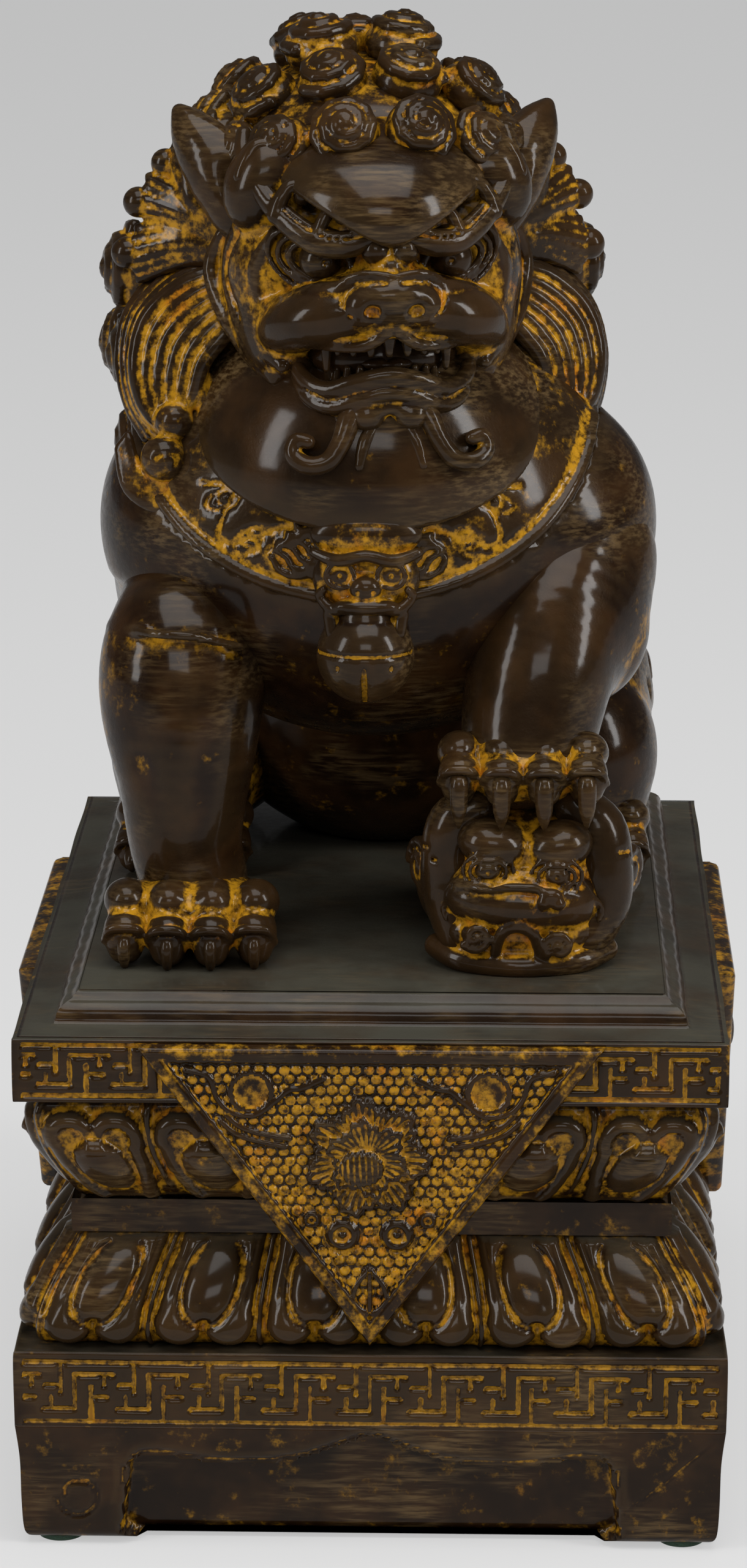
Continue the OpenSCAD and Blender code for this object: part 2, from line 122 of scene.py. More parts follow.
class Clay:
    """A block of clay, kept as distances to its surface on a grid, in millimetres."""

    band = 3.0

    def __init__(self, low, high, cell):
        self.cell = cell * 1.0
        self.low = np.array(low, np.float32)
        count = np.ceil((np.array(high) - self.low) / self.cell).astype(int) + 1
        self.field = np.full(count, self.band, np.float32)

    def window(self, low, high):
        """The part of the grid between two corners, and its coordinates."""
        first = np.floor((np.array(low) - self.low) / self.cell).astype(int)
        last = np.ceil((np.array(high) - self.low) / self.cell).astype(int) + 1
        first = np.clip(first, 0, self.field.shape)
        last = np.clip(last, first, self.field.shape)
        cut = tuple(slice(a, b) for a, b in zip(first, last))
        rows = [self.low[i] + self.cell * np.arange(first[i], last[i], dtype=np.float32)
                for i in range(3)]
        return cut, np.meshgrid(*rows, indexing="ij", sparse=True)

    def put(self, cut, shape, soft, dig):
        """Adds a shape to the clay, or digs it out, with a softened edge."""
        old = self.field[cut]
        if not old.size:
            return
        if dig:
            shape = -shape
        near = np.maximum(soft - np.abs(old - shape), 0) if soft else 0
        blend = near * near / (4 * soft) if soft else 0
        joined = np.maximum(old, shape) + blend if dig else np.minimum(old, shape) - blend
        self.field[cut] = joined

    def lump(self, centre, radii, turn=(0, 0, 0), soft=2.0, dig=False):
        """An ellipsoid, turned by angles in degrees."""
        radii = np.array(radii if np.ndim(radii) else (radii,) * 3, np.float32)
        reach = radii.max() + self.band + soft
        cut, (x, y, z) = self.window(np.array(centre) - reach, np.array(centre) + reach)
        spin = np.array(Euler([math.radians(a) for a in turn]).to_matrix(), np.float32)
        x, y, z = x - centre[0], y - centre[1], z - centre[2]
        local = [spin[0, i] * x + spin[1, i] * y + spin[2, i] * z for i in range(3)]
        ratio = np.sqrt(sum((v / r) ** 2 for v, r in zip(local, radii)))
        slope = np.sqrt(sum((v / (r * r)) ** 2 for v, r in zip(local, radii)))
        self.put(cut, ratio * (ratio - 1) / np.maximum(slope, 1e-6), soft, dig)

    def rope(self, points, soft=0.8, dig=False, turns=5, closed=False):
        """A round bar along a smooth line through [x, y, z, radius]."""
        line = smooth_line(points, turns, closed)
        reach = line[:, 3].max() + self.band + soft
        cut, (x, y, z) = self.window(line[:, :3].min(0) - reach, line[:, :3].max(0) + reach)
        rows = [v.ravel() for v in (x, y, z)]
        shape = np.full([len(r) for r in rows], self.band + soft, np.float32)
        if not shape.size:
            return
        for a, b in zip(line[:-1], line[1:]):
            near = max(a[3], b[3]) + self.band + soft
            part = []
            for i, row in enumerate(rows):
                lowest = np.searchsorted(row, min(a[i], b[i]) - near)
                highest = np.searchsorted(row, max(a[i], b[i]) + near)
                part.append(slice(lowest, highest))
            step = b[:3] - a[:3]
            size = max(float(step @ step), 1e-6)
            px = rows[0][part[0]][:, None, None] - a[0]
            py = rows[1][part[1]][None, :, None] - a[1]
            pz = rows[2][part[2]][None, None, :] - a[2]
            share = np.clip((px * step[0] + py * step[1] + pz * step[2]) / size, 0, 1)
            gap = np.sqrt((px - share * step[0]) ** 2 + (py - share * step[1]) ** 2
                          + (pz - share * step[2]) ** 2)
            part = tuple(part)
            shape[part] = np.minimum(shape[part], gap - a[3] - share * (b[3] - a[3]))
        self.put(cut, shape, soft, dig)

    def strands(self, first, last, count, radius, soft=0.5, thin=0.6):
        """Ropes that fill the space between two lines of the same number of points."""
        first, last = np.array(first, float), np.array(last, float)
        for i in range(count):
            share = i / max(count - 1, 1)
            line = first + (last - first) * share
            width = np.linspace(1, thin, len(line)) * radius
            self.rope(np.column_stack([line, width]), soft)

    def keep(self, inside):
        """Trims the clay to where inside(x, y, z) is negative."""
        x, y, z = [self.low[i] + self.cell * np.arange(self.field.shape[i], dtype=np.float32)
                   for i in range(3)]
        edge = inside(x[:, None, None], y[None, :, None], z[None, None, :])
        self.field = np.maximum(self.field, edge)

    def soften(self):
        """Rounds every edge a little."""
        for axis in range(3):
            self.field = box_mean(self.field, 1, axis)

    def hollow(self, points, reach):
        """How far a point lies in a hollow (1) or on a ridge (-1)."""
        soft = np.clip(self.field, -reach, reach) / reach
        size = max(int(round(reach / self.cell)), 1)
        for axis in range(3):
            soft = box_mean(soft, size, axis)
        return -4 * sample(soft, (points - self.low) / self.cell)

    def skin(self):
        """The clay's surface as points and four-sided faces."""
        for axis in range(3):
            edge = np.moveaxis(self.field, axis, 0)
            edge[0] = self.band
            edge[-1] = self.band
        grid = vdb.FloatGrid(self.band)
        grid.copyFromArray(np.clip(self.field, -self.band, self.band))
        points, quads = grid.convertToQuads(0.0)
        return points * self.cell + self.low, quads[:, ::-1].astype(np.int32)


def smooth_line(points, turns, closed=False):
    """A Catmull-Rom line through the points, with some steps between each two."""
    p = np.array(points, float)
    ends = (p[-1], p[0], p[1]) if closed else (p[0], p[-1], p[-1])
    p = np.vstack([ends[0], p, ends[1], ends[2]] if closed else [ends[0], p, ends[1]])
    line = []
    for a, b, c, d in zip(p[:-3], p[1:-2], p[2:-1], p[3:]):
        for t in np.linspace(0, 1, turns, endpoint=False):
            line.append(0.5 * (2 * b + (c - a) * t + (2 * a - 5 * b + 4 * c - d) * t**2
                               + (3 * b - a - 3 * c + d) * t**3))
    line.append(p[-2])
    return np.array(line, np.float32)


def box_mean(values, size, axis):
    """The mean over a window of 2 * size + 1 along one axis."""
    padding = [(0, 0)] * values.ndim
    padding[axis] = (size + 1, size)
    width = 2 * size + 1
    total = np.cumsum(np.pad(values, padding, mode="edge"), axis=axis, dtype=np.float64)
    total = np.moveaxis(total, axis, 0)
    return np.moveaxis((total[width:] - total[:-width]) / width, 0, axis).astype(np.float32)


def sample(values, places):
    """Values between grid cells, at places in cells."""
    places = np.clip(places, 0, np.array(values.shape) - 1.001)
    cell = places.astype(int)
    part = places - cell
    found = 0
    for corner in range(8):
        step = np.array([corner & 1, corner >> 1 & 1, corner >> 2])
        share = np.prod(np.where(step, part, 1 - part), axis=1)
        at = cell + step
        found = found + share * values[at[:, 0], at[:, 1], at[:, 2]]
    return found


def coil(centre, out, radius, turns=2.5, rise=5.0, thick=1.7, side=1, start=0.0):
    """The line of a snail curl that rises along out towards its middle."""
    out = np.array(out, float) / np.linalg.norm(out)
    across = np.cross(out, (0, 0, 1) if abs(out[2]) < 0.9 else (0, 1, 0))
    across /= np.linalg.norm(across)
    along = np.cross(out, across)
    line = []
    steps = max(int(turns * 8), 6)
    for i in range(steps + 1):
        share = i / steps
        angle = start + side * share * turns * 2 * math.pi
        r = radius * (1 - share) ** 0.85
        place = (np.array(centre) + across * r * math.cos(angle) + along * r * math.sin(angle)
                 + out * rise * share)
        line.append([*place, thick * (1 - 0.35 * share)])
    return line


# ---------- pieces ----------


def to_row(points, turned):
    """Brings points from the lion's own place to the frame, in millimetres."""
    points = np.array(points, float)
    if turned:
        c, s = math.cos(HEAD_TURN), math.sin(HEAD_TURN)
        x = points[:, 0] * c - points[:, 1] * s + NECK[0]
        y = points[:, 0] * s + points[:, 1] * c + NECK[1]
        points = np.column_stack([x, y, points[:, 2]])
    return points * FIT + (0, 0, PLATFORM_TOP)


def new_mesh(name, points, faces, hollow=None):
    """A mesh object with its place in its mesh, in metres."""
    mesh = bpy.data.meshes.new(name)
    points = np.asarray(points, np.float32) * MM
    faces = np.asarray(faces, np.int32)
    mesh.vertices.add(len(points))
    mesh.vertices.foreach_set("co", points.ravel())
    mesh.loops.add(faces.size)
    mesh.loops.foreach_set("vertex_index", faces.ravel())
    mesh.polygons.add(len(faces))
    starts = np.arange(0, faces.size, faces.shape[1], dtype=np.int32)
    mesh.polygons.foreach_set("loop_start", starts)
    mesh.polygons.foreach_set("use_smooth", np.ones(len(faces), bool))
    if hollow is not None:
        layer = mesh.attributes.new("hollow", "FLOAT", "POINT")
        layer.data.foreach_set("value", np.asarray(hollow, np.float32))
    mesh.update(calc_edges=True)
    mesh.validate()
    piece = bpy.data.objects.new(name, mesh)
    bpy.context.scene.collection.objects.link(piece)
    return piece


def settle(piece, slot, finish, *nodes):
    """Gives a piece its finish, its place in the frame and the nodes it stands for."""
    piece.data.materials.clear()
    piece.data.materials.append(finish)
    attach(piece, "root")
    if nodes:
        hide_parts(*nodes)
    return piece


def fire(clay, name, slot, finish, nodes, turned=False, reach=1.8, least=0.04):
    """Turns clay into a finished piece."""
    points, faces = clay.skin()
    fine = clay.hollow(points, reach)
    broad = clay.hollow(points, min(3 * reach, 6))
    hollow = sum(share * part / max(np.percentile(np.abs(part), 90), least)
                 for share, part in ((0.50, fine), (0.30, broad)))
    hollow = np.clip(hollow, -1, 1)
    piece = new_mesh(name, to_row(points, turned), faces, hollow)
    return settle(piece, slot, finish, *nodes)


# ---------- finishes ----------


class Finish:
    """A procedural material, built node by node on the piece's own coordinates."""

    def __init__(self, name):
        self.made = bpy.data.materials.new(name)
        self.made.use_nodes = True
        self.tree = self.made.node_tree
        self.shader = self.tree.nodes["Principled BSDF"]
        self.place = self.node("ShaderNodeTexCoord").outputs["Object"]

    def node(self, kind, **settings):
        made = self.tree.nodes.new(kind)
        for name, value in settings.items():
            setattr(made, name, value)
        return made

    def wire(self, source, target):
        self.tree.links.new(source, target)

    def noise(self, size_mm, detail=4.0, rough=0.55, stretch=(1, 1, 1), turn=(0, 0, 0)):
        """Noise with features about this size, stretched along the axes."""
        mapping = self.node("ShaderNodeMapping")
        mapping.inputs["Scale"].default_value = stretch
        mapping.inputs["Rotation"].default_value = turn
        self.wire(self.place, mapping.inputs["Vector"])
        noise = self.node("ShaderNodeTexNoise")
        noise.inputs["Scale"].default_value = 1 / (size_mm * MM)
        noise.inputs["Detail"].default_value = detail
        noise.inputs["Roughness"].default_value = rough
        self.wire(mapping.outputs["Vector"], noise.inputs["Vector"])
        return noise.outputs["Fac"]

    def ramp(self, value, low, high, to_low=0.0, to_high=1.0):
        """Maps a value's range to another, clamped."""
        made = self.node("ShaderNodeMapRange")
        made.interpolation_type = "SMOOTHSTEP"
        for name, number in (("From Min", low), ("From Max", high),
                             ("To Min", to_low), ("To Max", to_high)):
            made.inputs[name].default_value = number
        self.wire(value, made.inputs["Value"])
        return made.outputs["Result"]

    def sum(self, a, b, kind="ADD", clamp=False):
        made = self.node("ShaderNodeMath", operation=kind, use_clamp=clamp)
        for i, value in enumerate((a, b)):
            if isinstance(value, (int, float)):
                made.inputs[i].default_value = value
            else:
                self.wire(value, made.inputs[i])
        return made.outputs["Value"]

    def mix(self, share, a, b):
        """Mixes two colours by a share."""
        made = self.node("ShaderNodeMix", data_type="RGBA")
        self.wire(share, made.inputs["Factor"])
        for socket, value in ((made.inputs[6], a), (made.inputs[7], b)):
            if isinstance(value, bpy.types.NodeSocket):
                self.wire(value, socket)
            else:
                socket.default_value = (*value, 1)
        return made.outputs[2]

    def bump(self, *heights):
        """Surface texture from pairs of a value and its depth in millimetres."""
        normal = None
        for value, depth in heights:
            made = self.node("ShaderNodeBump")
            made.inputs["Distance"].default_value = depth * MM
            self.wire(value, made.inputs["Height"])
            if normal is not None:
                self.wire(normal, made.inputs["Normal"])
            normal = made.outputs["Normal"]
        self.wire(normal, self.shader.inputs["Normal"])


def lacquer(name, wash=0.5, fire_wash=0.35, brush=0.5, painted_sheen=0.0, rough=0.34):
    """Dark lacquer with ochre left in the hollows, tan brushed on, and dust on top."""
    colours = bpy.context.scene.lion_finish
    f = Finish(name)
    hollow = f.node("ShaderNodeAttribute", attribute_name="hollow").outputs["Fac"]
    patches = f.noise(16, 3)
    grain = f.noise(2.2, 5, 0.65)
    blots = f.noise(6.5, 4, 0.6)
    base = f.mix(f.ramp(patches, 0.38, 0.70), tuple(colours.dark), tuple(colours.brown))
    streaks = f.noise(1.0, 3, 0.6, (0.09, 0.5, 1.0), (0, 0.25, 0))
    proud = f.ramp(hollow, 0.10, -0.25)
    sweep = f.ramp(f.noise(30, 2), 0.47, 0.68)
    brushed = f.sum(f.sum(f.ramp(streaks, 0.38, 0.72), sweep, "MULTIPLY"), brush, "MULTIPLY")
    lifted = f.sum(brushed, f.sum(proud, 0.16 * brush, "MULTIPLY"), "ADD", True)
    base = f.mix(lifted, base, tuple(colours.tan))
    depth = f.sum(hollow, f.sum(f.sum(blots, -0.5), 1.3, "MULTIPLY"))
    depth = f.sum(depth, f.sum(f.sum(grain, -0.5), 0.7, "MULTIPLY"))
    left = f.sum(f.ramp(depth, 0.34 - 0.34 * wash, 0.85 - 0.40 * wash), min(0.5 + 0.5 * wash, 1),
                 "MULTIPLY")
    hue = f.ramp(f.sum(f.noise(11, 3), f.sum(hollow, 0.08, "MULTIPLY")),
                 0.66 - 0.3 * fire_wash, 0.86 - 0.3 * fire_wash, 0, min(1, 1.8 * fire_wash))
    washed = f.mix(hue, tuple(colours.ochre), tuple(colours.amber))
    murk = f.ramp(grain, 0.30, 0.62)
    washed = f.mix(murk, tuple(colours.brown), washed)
    base = f.mix(left, base, washed)
    # Painted reflection: faces that look up turn grey by how far their normal points up, in noisy patches,
    # standing in for the room's reflection
    if painted_sheen:
        up = f.node("ShaderNodeSeparateXYZ")
        f.wire(f.node("ShaderNodeNewGeometry").outputs["Normal"], up.inputs["Vector"])
        level = f.ramp(up.outputs["Z"], 0.55, 0.98)
        cloud = f.ramp(f.noise(45, 5, 0.6), 0.36, 0.60, 0.45, 1.0)
        sheen = f.sum(f.sum(level, cloud, "MULTIPLY"), painted_sheen, "MULTIPLY")
        base = f.mix(sheen, base, tuple(colours.painted_sheen))
    f.wire(base, f.shader.inputs["Base Color"])
    worn = f.ramp(grain, 0.3, 0.7, rough - 0.07, rough + 0.10)
    if painted_sheen:
        worn = f.sum(worn, f.sum(sheen, 0.25, "MULTIPLY"))
    f.wire(worn, f.shader.inputs["Roughness"])
    f.shader.inputs["Specular IOR Level"].default_value = 0.05
    f.shader.inputs["Specular Tint"].default_value = (1.0, 0.74, 0.52, 1)
    f.shader.inputs["Coat Weight"].default_value = 0.30
    f.shader.inputs["Coat Roughness"].default_value = 0.12
    f.bump((blots, 0.25), (streaks, 0.02), (f.noise(0.55, 2), 0.05))
    return f.made


def plain(name, colour, rough, grain_mm, depth_mm, vary=0.5, metal=0.0):
    """A plain finish with its own fine grain."""
    f = Finish(name)
    grain = f.noise(grain_mm, 5, 0.65)
    dark = tuple(c * (1 - vary) for c in colour)
    f.wire(f.mix(f.ramp(grain, 0.3, 0.7), dark, tuple(colour)), f.shader.inputs["Base Color"])
    f.wire(f.ramp(grain, 0.3, 0.7, rough - 0.08, rough + 0.08), f.shader.inputs["Roughness"])
    f.shader.inputs["Metallic"].default_value = metal
    f.bump((grain, depth_mm))
    return f.made


FINISHES = {}


def finish(name):
    """Each finish is made once."""
    recipes = {
        "smooth": lambda: lacquer("smooth_lacquer", 0.42, 0.25, 0.70, rough=0.30),
        "face": lambda: lacquer("face_lacquer", 1.05, 0.40, 0.60, rough=0.29),
        "hair": lambda: lacquer("carved_hair", 1.55, 0.42, 0.55, rough=0.32),
        "claws": lambda: lacquer("claw_lacquer", 1.25, 0.45, 0.60, rough=0.30),
        "relief": lambda: lacquer("relief_lacquer", 0.95, 0.40, 0.95, painted_sheen=0.4, rough=0.32),
        "cloth": lambda: lacquer("cloth_relief", 1.35, 0.40, 0.45, rough=0.30),
        # The ledge gets the most painted grey reflection on its up-facing faces
        "ledge": lambda: lacquer("painted_sheen_lacquer", 0.30, 0.30, 0.55, painted_sheen=0.85, rough=0.36),
        "relief_smooth": lambda: lacquer("collar_relief", 1.25, 0.25, 0.80, rough=0.30),
        "brow": lambda: lacquer("forehead_lacquer", 0.38, 0.25, 0.95, rough=0.27),
        "teeth": lambda: lacquer("teeth_lacquer", 0.95, 0.65, 0.60, rough=0.28),
        "bright_hair": lambda: lacquer("bright_hair", 2.05, 0.40, 0.40, rough=0.32),
        "apron": lambda: lacquer("apron_lacquer", 0.72, 0.25, 0.80, painted_sheen=0.4, rough=0.34),
        "fret": lambda: lacquer("fret_lacquer", 0.95, 0.30, 0.45, painted_sheen=0.8, rough=0.33),
        "mouth": lambda: lacquer("mouth_wash", 1.35, 0.95, 0.20, rough=0.24),
        "felt": lambda: plain("felt", (0.035, 0.075, 0.045), 0.9, 0.4, 0.3),
        "board": lambda: plain("fibreboard", (0.30, 0.20, 0.12), 0.75, 1.2, 0.1, 0.35),
        "steel": lambda: plain("steel", (0.55, 0.55, 0.57), 0.32, 0.8, 0.01, 0.2, 1.0),
    }
    if name not in FINISHES:
        FINISHES[name] = recipes[name]()
    return FINISHES[name]


# ---------- the body ----------


def grain(fine=True):
    """The clay's grain in millimetres."""
    sizes = bpy.context.scene.lion_sizes
    return (sizes.fine if fine else sizes.coarse) / MM


SIDES = ((1, "left"), (-1, "right"))


def mirrored(side, low, high):
    """A box's corners on one side of the lion, given for its left."""
    if side > 0:
        return low, high
    return (-high[0], *low[1:]), (-low[0], *high[1:])


CHEST = dict(centre=(-2, -18, 105), radii=(60, 49, 53))


def make_torso():
    """Chest, shoulders, back and rump, down to the platform."""
    clay = Clay((-92, -84, -2), (92, 122, 168), grain(False) * 1.5)
    clay.lump((0, 14, 96), (48, 50, 46), soft=0)
    clay.lump(**CHEST, soft=16)
    clay.lump((0, 53, 54), (50, 40, 50), soft=18)
    clay.lump((0, 68, 34), (42, 31, 34), soft=12)
    clay.lump((0, -8, 142), (44, 34, 26), soft=16)
    for side in (-1, 1):
        clay.lump((side * 47, -20, 102), (23, 29, 29), (0, side * 8, 0), soft=9)
        clay.lump((side * 52, 2, 84), (17, 23, 25), soft=9)
        # the shoulder blade's edge and the fold above the elbow
        clay.rope([[side * 40, -66, 84, 1.6], [side * 52, -56, 86, 2.2], [side * 64, -42, 87, 2.4],
                   [side * 72, -22, 85, 2.0]], 4, True)
        clay.rope([[side * 66, 14, 118, 1.6], [side * 72, 18, 98, 2.6], [side * 70, 20, 76, 2.0]], 5, True)
        for i in range(4):
            clay.rope([[side * (47 - i), 40 + 9 * i, 86 - 9 * i, 1.2],
                       [side * 51, 38 + 9 * i, 70 - 9 * i, 2.2],
                       [side * 48, 36 + 9 * i, 56 - 9 * i, 1.4]], 4, True)
    clay.rope([[0, 24, 142, 4], [0, 56, 108, 5], [0, 84, 74, 4], [0, 100, 44, 4]], 8)
    for i in range(7):
        clay.lump((0, 36 + 9.5 * i, 133 - 12.5 * i), (5, 5, 5), soft=5)
    clay.keep(lambda x, y, z: -z)

    def under_collar(x, y, z):
        """Leaves room for the band and the bib on the chest."""
        chest = np.sqrt(((x + 2) / 64) ** 2 + ((y + 18) / 49.5) ** 2 + ((z - 104) / 56) ** 2)
        ring = (np.sqrt(((x + 4) / 60) ** 2 + ((z - 138) / 44) ** 2) - 1) * 44
        return np.minimum((chest - 1) * 45, np.minimum(-ring, -12 - y))

    clay.keep(under_collar)
    return fire(clay, "torso", "lacquer", finish("smooth"), ["torso"], reach=3.5, least=0.8)


def make_collar():
    """The engraved band that hangs round the chest, with a rim along both edges."""
    low, centre_z, half_w, half_h = (-74, -88, 84), 138, 61, 45
    clay = Clay(low, (66, -6, 168), grain() * 1.2)
    clay.lump((-2, -18, 104), (68, 53.5, 60), soft=0)
    clay.keep(lambda x, y, z: (np.sqrt(((x + 4) / half_w) ** 2 + ((z - centre_z) / half_h) ** 2)
                               - 1) * half_h)
    clay.keep(lambda x, y, z: y + 10)

    def edge(angle, inset, radius, proud=0.0):
        """A place on the band, at an angle from straight down."""
        a = math.radians(angle)
        x = -4 + (half_w - inset * half_w / half_h) * math.sin(a)
        z = centre_z - (half_h - inset) * math.cos(a)
        y = -18 - 53.5 * math.sqrt(max(1 - ((x + 2) / 68) ** 2 - ((z - 104) / 60) ** 2, 0)) - proud
        return [x, y, z, radius]

    for inset, radius, soft, dig in ((1.0, 1.5, 0.6, False), (3.4, 0.55, 0.3, True),
                                     (20.0, 1.3, 0.6, False), (17.8, 0.6, 0.3, True)):
        clay.rope([edge(a, inset, radius) for a in range(-84, 85, 6)], soft, dig)
    for side in (-1, 1):
        for angle, inset in ((34, 8.5), (51, 12.5)):
            for radius in (1.6, 3.9):
                ring = []
                for k in range(13):
                    turn = 2 * math.pi * k / 12
                    ring.append(edge(side * (angle + radius / 62 * 57 * math.cos(turn)),
                                     inset + radius * math.sin(turn), 0.62))
                clay.rope(ring, 0.2, True, 3)
            clay.lump(edge(side * angle, inset, 0)[:3], 1.1, soft=0.5)
        wave = [edge(side * (26 + 3.4 * k), 10.5 + 5.6 * math.cos(k * 0.78), 0.7) for k in range(11)]
        clay.rope(wave, 0.2, True, 3)
        # hair that sweeps back from the mask
        for k in range(6):
            inset = 5.0 + 2.3 * k
            hair = [edge(side * (9 + 4.2 * n), inset + 1.3 * math.sin(n * 1.9 + k) + 0.35 * n,
                         1.35 - 0.16 * n, proud=0.6) for n in range(5)]
            clay.rope(hair, 0.4)
    return fire(clay, "collar", "carved_relief", finish("relief_smooth"), ["collar"], reach=1.4)


def make_bib():
    """The smooth oval plate on the chest."""
    clay = Clay((-54, -84, 104), (50, -16, 168), grain() * 1.5)
    clay.lump((-2, -26, 122), (51, 51, 45), soft=0)
    clay.keep(lambda x, y, z: (np.sqrt(((x + 2) / 47) ** 2 + ((z - 138) / 26.5) ** 2) - 1) * 26)
    clay.keep(lambda x, y, z: y + 22)
    clay.soften()
    return fire(clay, "chest_bib", "lacquer", finish("brow"), ["chest_bib"], reach=2)


def make_mask():
    """A small lion mask that holds the bell, on the collar's middle."""
    clay = Clay((-24, -92, 82), (20, -58, 120), grain() * 0.7)
    middle = -2
    clay.lump((middle, -72, 100), (13.5, 6, 10), soft=0)
    clay.lump((middle, -72.5, 111), (14, 5, 6), soft=3)
    clay.rope([[middle - 13, -75, 107, 1.3], [middle - 7, -78, 105.5, 1.7], [middle, -79, 107, 1.5],
               [middle + 7, -78, 105.5, 1.7], [middle + 13, -75, 107, 1.3]], 0.6)
    clay.lump((middle, -78, 98.5), (4.2, 3.6, 3.4), soft=1.2)
    clay.lump((middle, -78.5, 94.0), (8.5, 3.4, 2.2), soft=1.0)
    for side in (-1, 1):
        x = middle + side * 6.4
        clay.lump((x, -76.5, 101.8), (3.6, 2.6, 3.2), soft=0.6)
        clay.rope([[x + 3.6 * math.cos(a), -78.4, 101.8 + 3.2 * math.sin(a), 0.65]
                   for a in np.linspace(0, 2 * math.pi, 9)], 0.3)
        clay.lump((x, -79.2, 101.8), 0.9, soft=0.2, dig=True)
        clay.lump((middle + side * 2.2, -81.2, 97.8), 0.9, soft=0.2, dig=True)
        clay.rope([[middle + side * 2, -80, 94.5, 1.2], [middle + side * 8, -78, 93, 1.5],
                   [middle + side * 11.5, -76, 96, 1.3], [middle + side * 10.5, -77, 98, 1]], 0.4)
        clay.rope([[middle + side * 9, -77, 91.5, 1.8], [middle + side * 8.5, -78, 87, 1.5]], 0.5)
    clay.lump((middle, -75, 88.5), (8.5, 5, 4.5), soft=1.2)
    clay.rope([[middle - 7, -79.5, 90, 0.6], [middle, -80.5, 88.8, 0.6], [middle + 7, -79.5, 90, 0.6]],
              0.2, True)
    return fire(clay, "collar_mask", "carved_relief", finish("hair"), ["collar_mask"], reach=1.2)


def make_bell():
    """The round bell under the mask, with its slit."""
    clay = Clay((-20, -92, 64), (16, -56, 96), grain() * 0.8)
    x, y, z = -2.2, -73.5, 80.5
    clay.lump((x, y, z), (12.3, 12, 12.3), soft=0)
    clay.lump((x, y, z + 11), (7, 7, 4), soft=2)
    for lift, radius in ((1.2, 0.7), (3.2, 0.45)):
        ring = [[x + 12.3 * math.sin(a), y - 12.0 * math.cos(a), z + lift + 0.8 * math.cos(a), radius]
                for a in np.linspace(-1.5, 1.5, 13)]
        clay.rope(ring, 0.3, True, 3)
    clay.rope([[x, y - 12.3, z - 1, 0.8], [x, y - 9, z - 8, 0.9], [x, y - 4, z - 12, 0.9]], 0.3, True)
    for side in (-1, 1):
        clay.lump((x + side * 7, y - 10, z - 1.5), 0.9, soft=0.3, dig=True)
    return fire(clay, "collar_bell", "lacquer", finish("smooth"), ["collar_bell"], reach=1.5)


def make_forelegs():
    """The standing right foreleg and the left one that reaches down to the cub."""
    clay = Clay((-78, -92, 6), (-20, 4, 116), grain(False))
    clay.rope([[-48, -34, 86, 18], [-48.6, -48, 74, 20.4], [-48.6, -54, 58, 19.0], [-49.2, -57, 40, 16.2],
               [-49.0, -56, 27, 14.6], [-47.2, -55, 17, 14.0]], 0)
    clay.lump((-55, -52, 66), (14.5, 16, 25), soft=8)
    clay.lump((-61, -38, 60), (9, 12, 20), soft=8)
    clay.rope([[-40, -75, 80, 0.6], [-39.5, -76, 62, 1.2], [-41.5, -76, 44, 1.2], [-43, -76, 28, 0.6]],
              7, True)
    clay.rope([[-57, -78, 30, 0.6], [-58, -76, 40, 1.0], [-60, -72, 50, 0.5]], 6, True)
    clay.rope([[-68, -50, 82, 1.2], [-58, -68, 84.5, 1.3], [-46, -72, 84.5, 1.3], [-34, -64, 80, 1.2]], 1.2)
    fire(clay, "right_foreleg", "lacquer", finish("smooth"), ["right_foreleg"], reach=2.6, least=0.5)

    clay = Clay((8, -88, 34), (80, 0, 126), grain(False))
    clay.rope([[50, -30, 96, 22], [45, -44, 84, 20], [42, -52, 72, 19], [40, -56, 62, 18],
               [39, -59, 54, 17]], 0)
    clay.lump((52, -36, 80), (17, 17, 20), soft=8)
    fire(clay, "left_foreleg", "lacquer", finish("smooth"), ["left_foreleg"], reach=2.2, least=0.5)


def knuckled_paw(clay, at, width, length, height, toe, lift=0.0):
    """Four toes, each with a knuckle above and behind a hooded tip; returns the tips."""
    x0, y0, z0 = at
    low = z0 + lift
    clay.lump((x0, y0 + length * 0.06, z0 + height * 0.5), (width * 0.42, length * 0.40, height * 0.5),
              soft=0)
    tips = []
    for i in range(4):
        x = x0 + (i - 1.5) * width / 4
        y = y0 - length / 2 + abs(i - 1.5) * 1.8
        knuckle = (x, y + 15, z0 + height * 0.68 + lift * 0.2)
        clay.lump(knuckle, (toe * 0.96, toe * 1.25, toe * 0.92), (-15, 0, 0), soft=1.8)
        clay.rope([[x, y + 13, z0 + height * 0.5 + lift * 0.5, toe * 0.7],
                   [x, y + 6.8, low + toe * 1.30, toe * 0.90],
                   [x, y + 5.4, low + toe * 0.75, toe * 0.72]], 0.8)
        # the hood of skin over the claw, and the crease behind it
        clay.rope([[x - toe * 0.85, y + 5.0, low + toe, 0.9], [x - toe * 0.5, y + 0.9, low + toe * 1.7, 1.25],
                   [x + toe * 0.5, y + 0.9, low + toe * 1.7, 1.25],
                   [x + toe * 0.85, y + 5.0, low + toe, 0.9]], 0.7)
        clay.rope([[x - toe * 0.7, y + 7.4, low + toe * 2.0, 0.5], [x, y + 5.6, low + toe * 2.25, 0.7],
                   [x + toe * 0.7, y + 7.4, low + toe * 2.0, 0.5]], 0.6, True)
        tips.append((x, y, low + toe))
    return tips


def paw_claws(name, tips, long):
    """Claws under the toes' hoods."""
    tips = np.array(tips)
    clay = Clay(tips.min(0) - (8, 9, 4 + long), tips.max(0) + (8, 10, 10), grain() * 0.8)
    small = long < 8
    wide = 0.82 if small else 1.1
    for x, y, z in tips:
        clay.rope([[x, y + 3.4, z + 2.4, 2.1 * wide], [x, y + 1.2, z + 0.2, 2.2 * wide],
                   [x, y + 0.9, z - long * 0.55, 1.9 * wide],
                   [x, y + (2.2 if small else 1.4), z - long, 1.2 if small else 0.6]], 0.4)
    return fire(clay, name, "teeth", finish("smooth"), [name], reach=1.2)


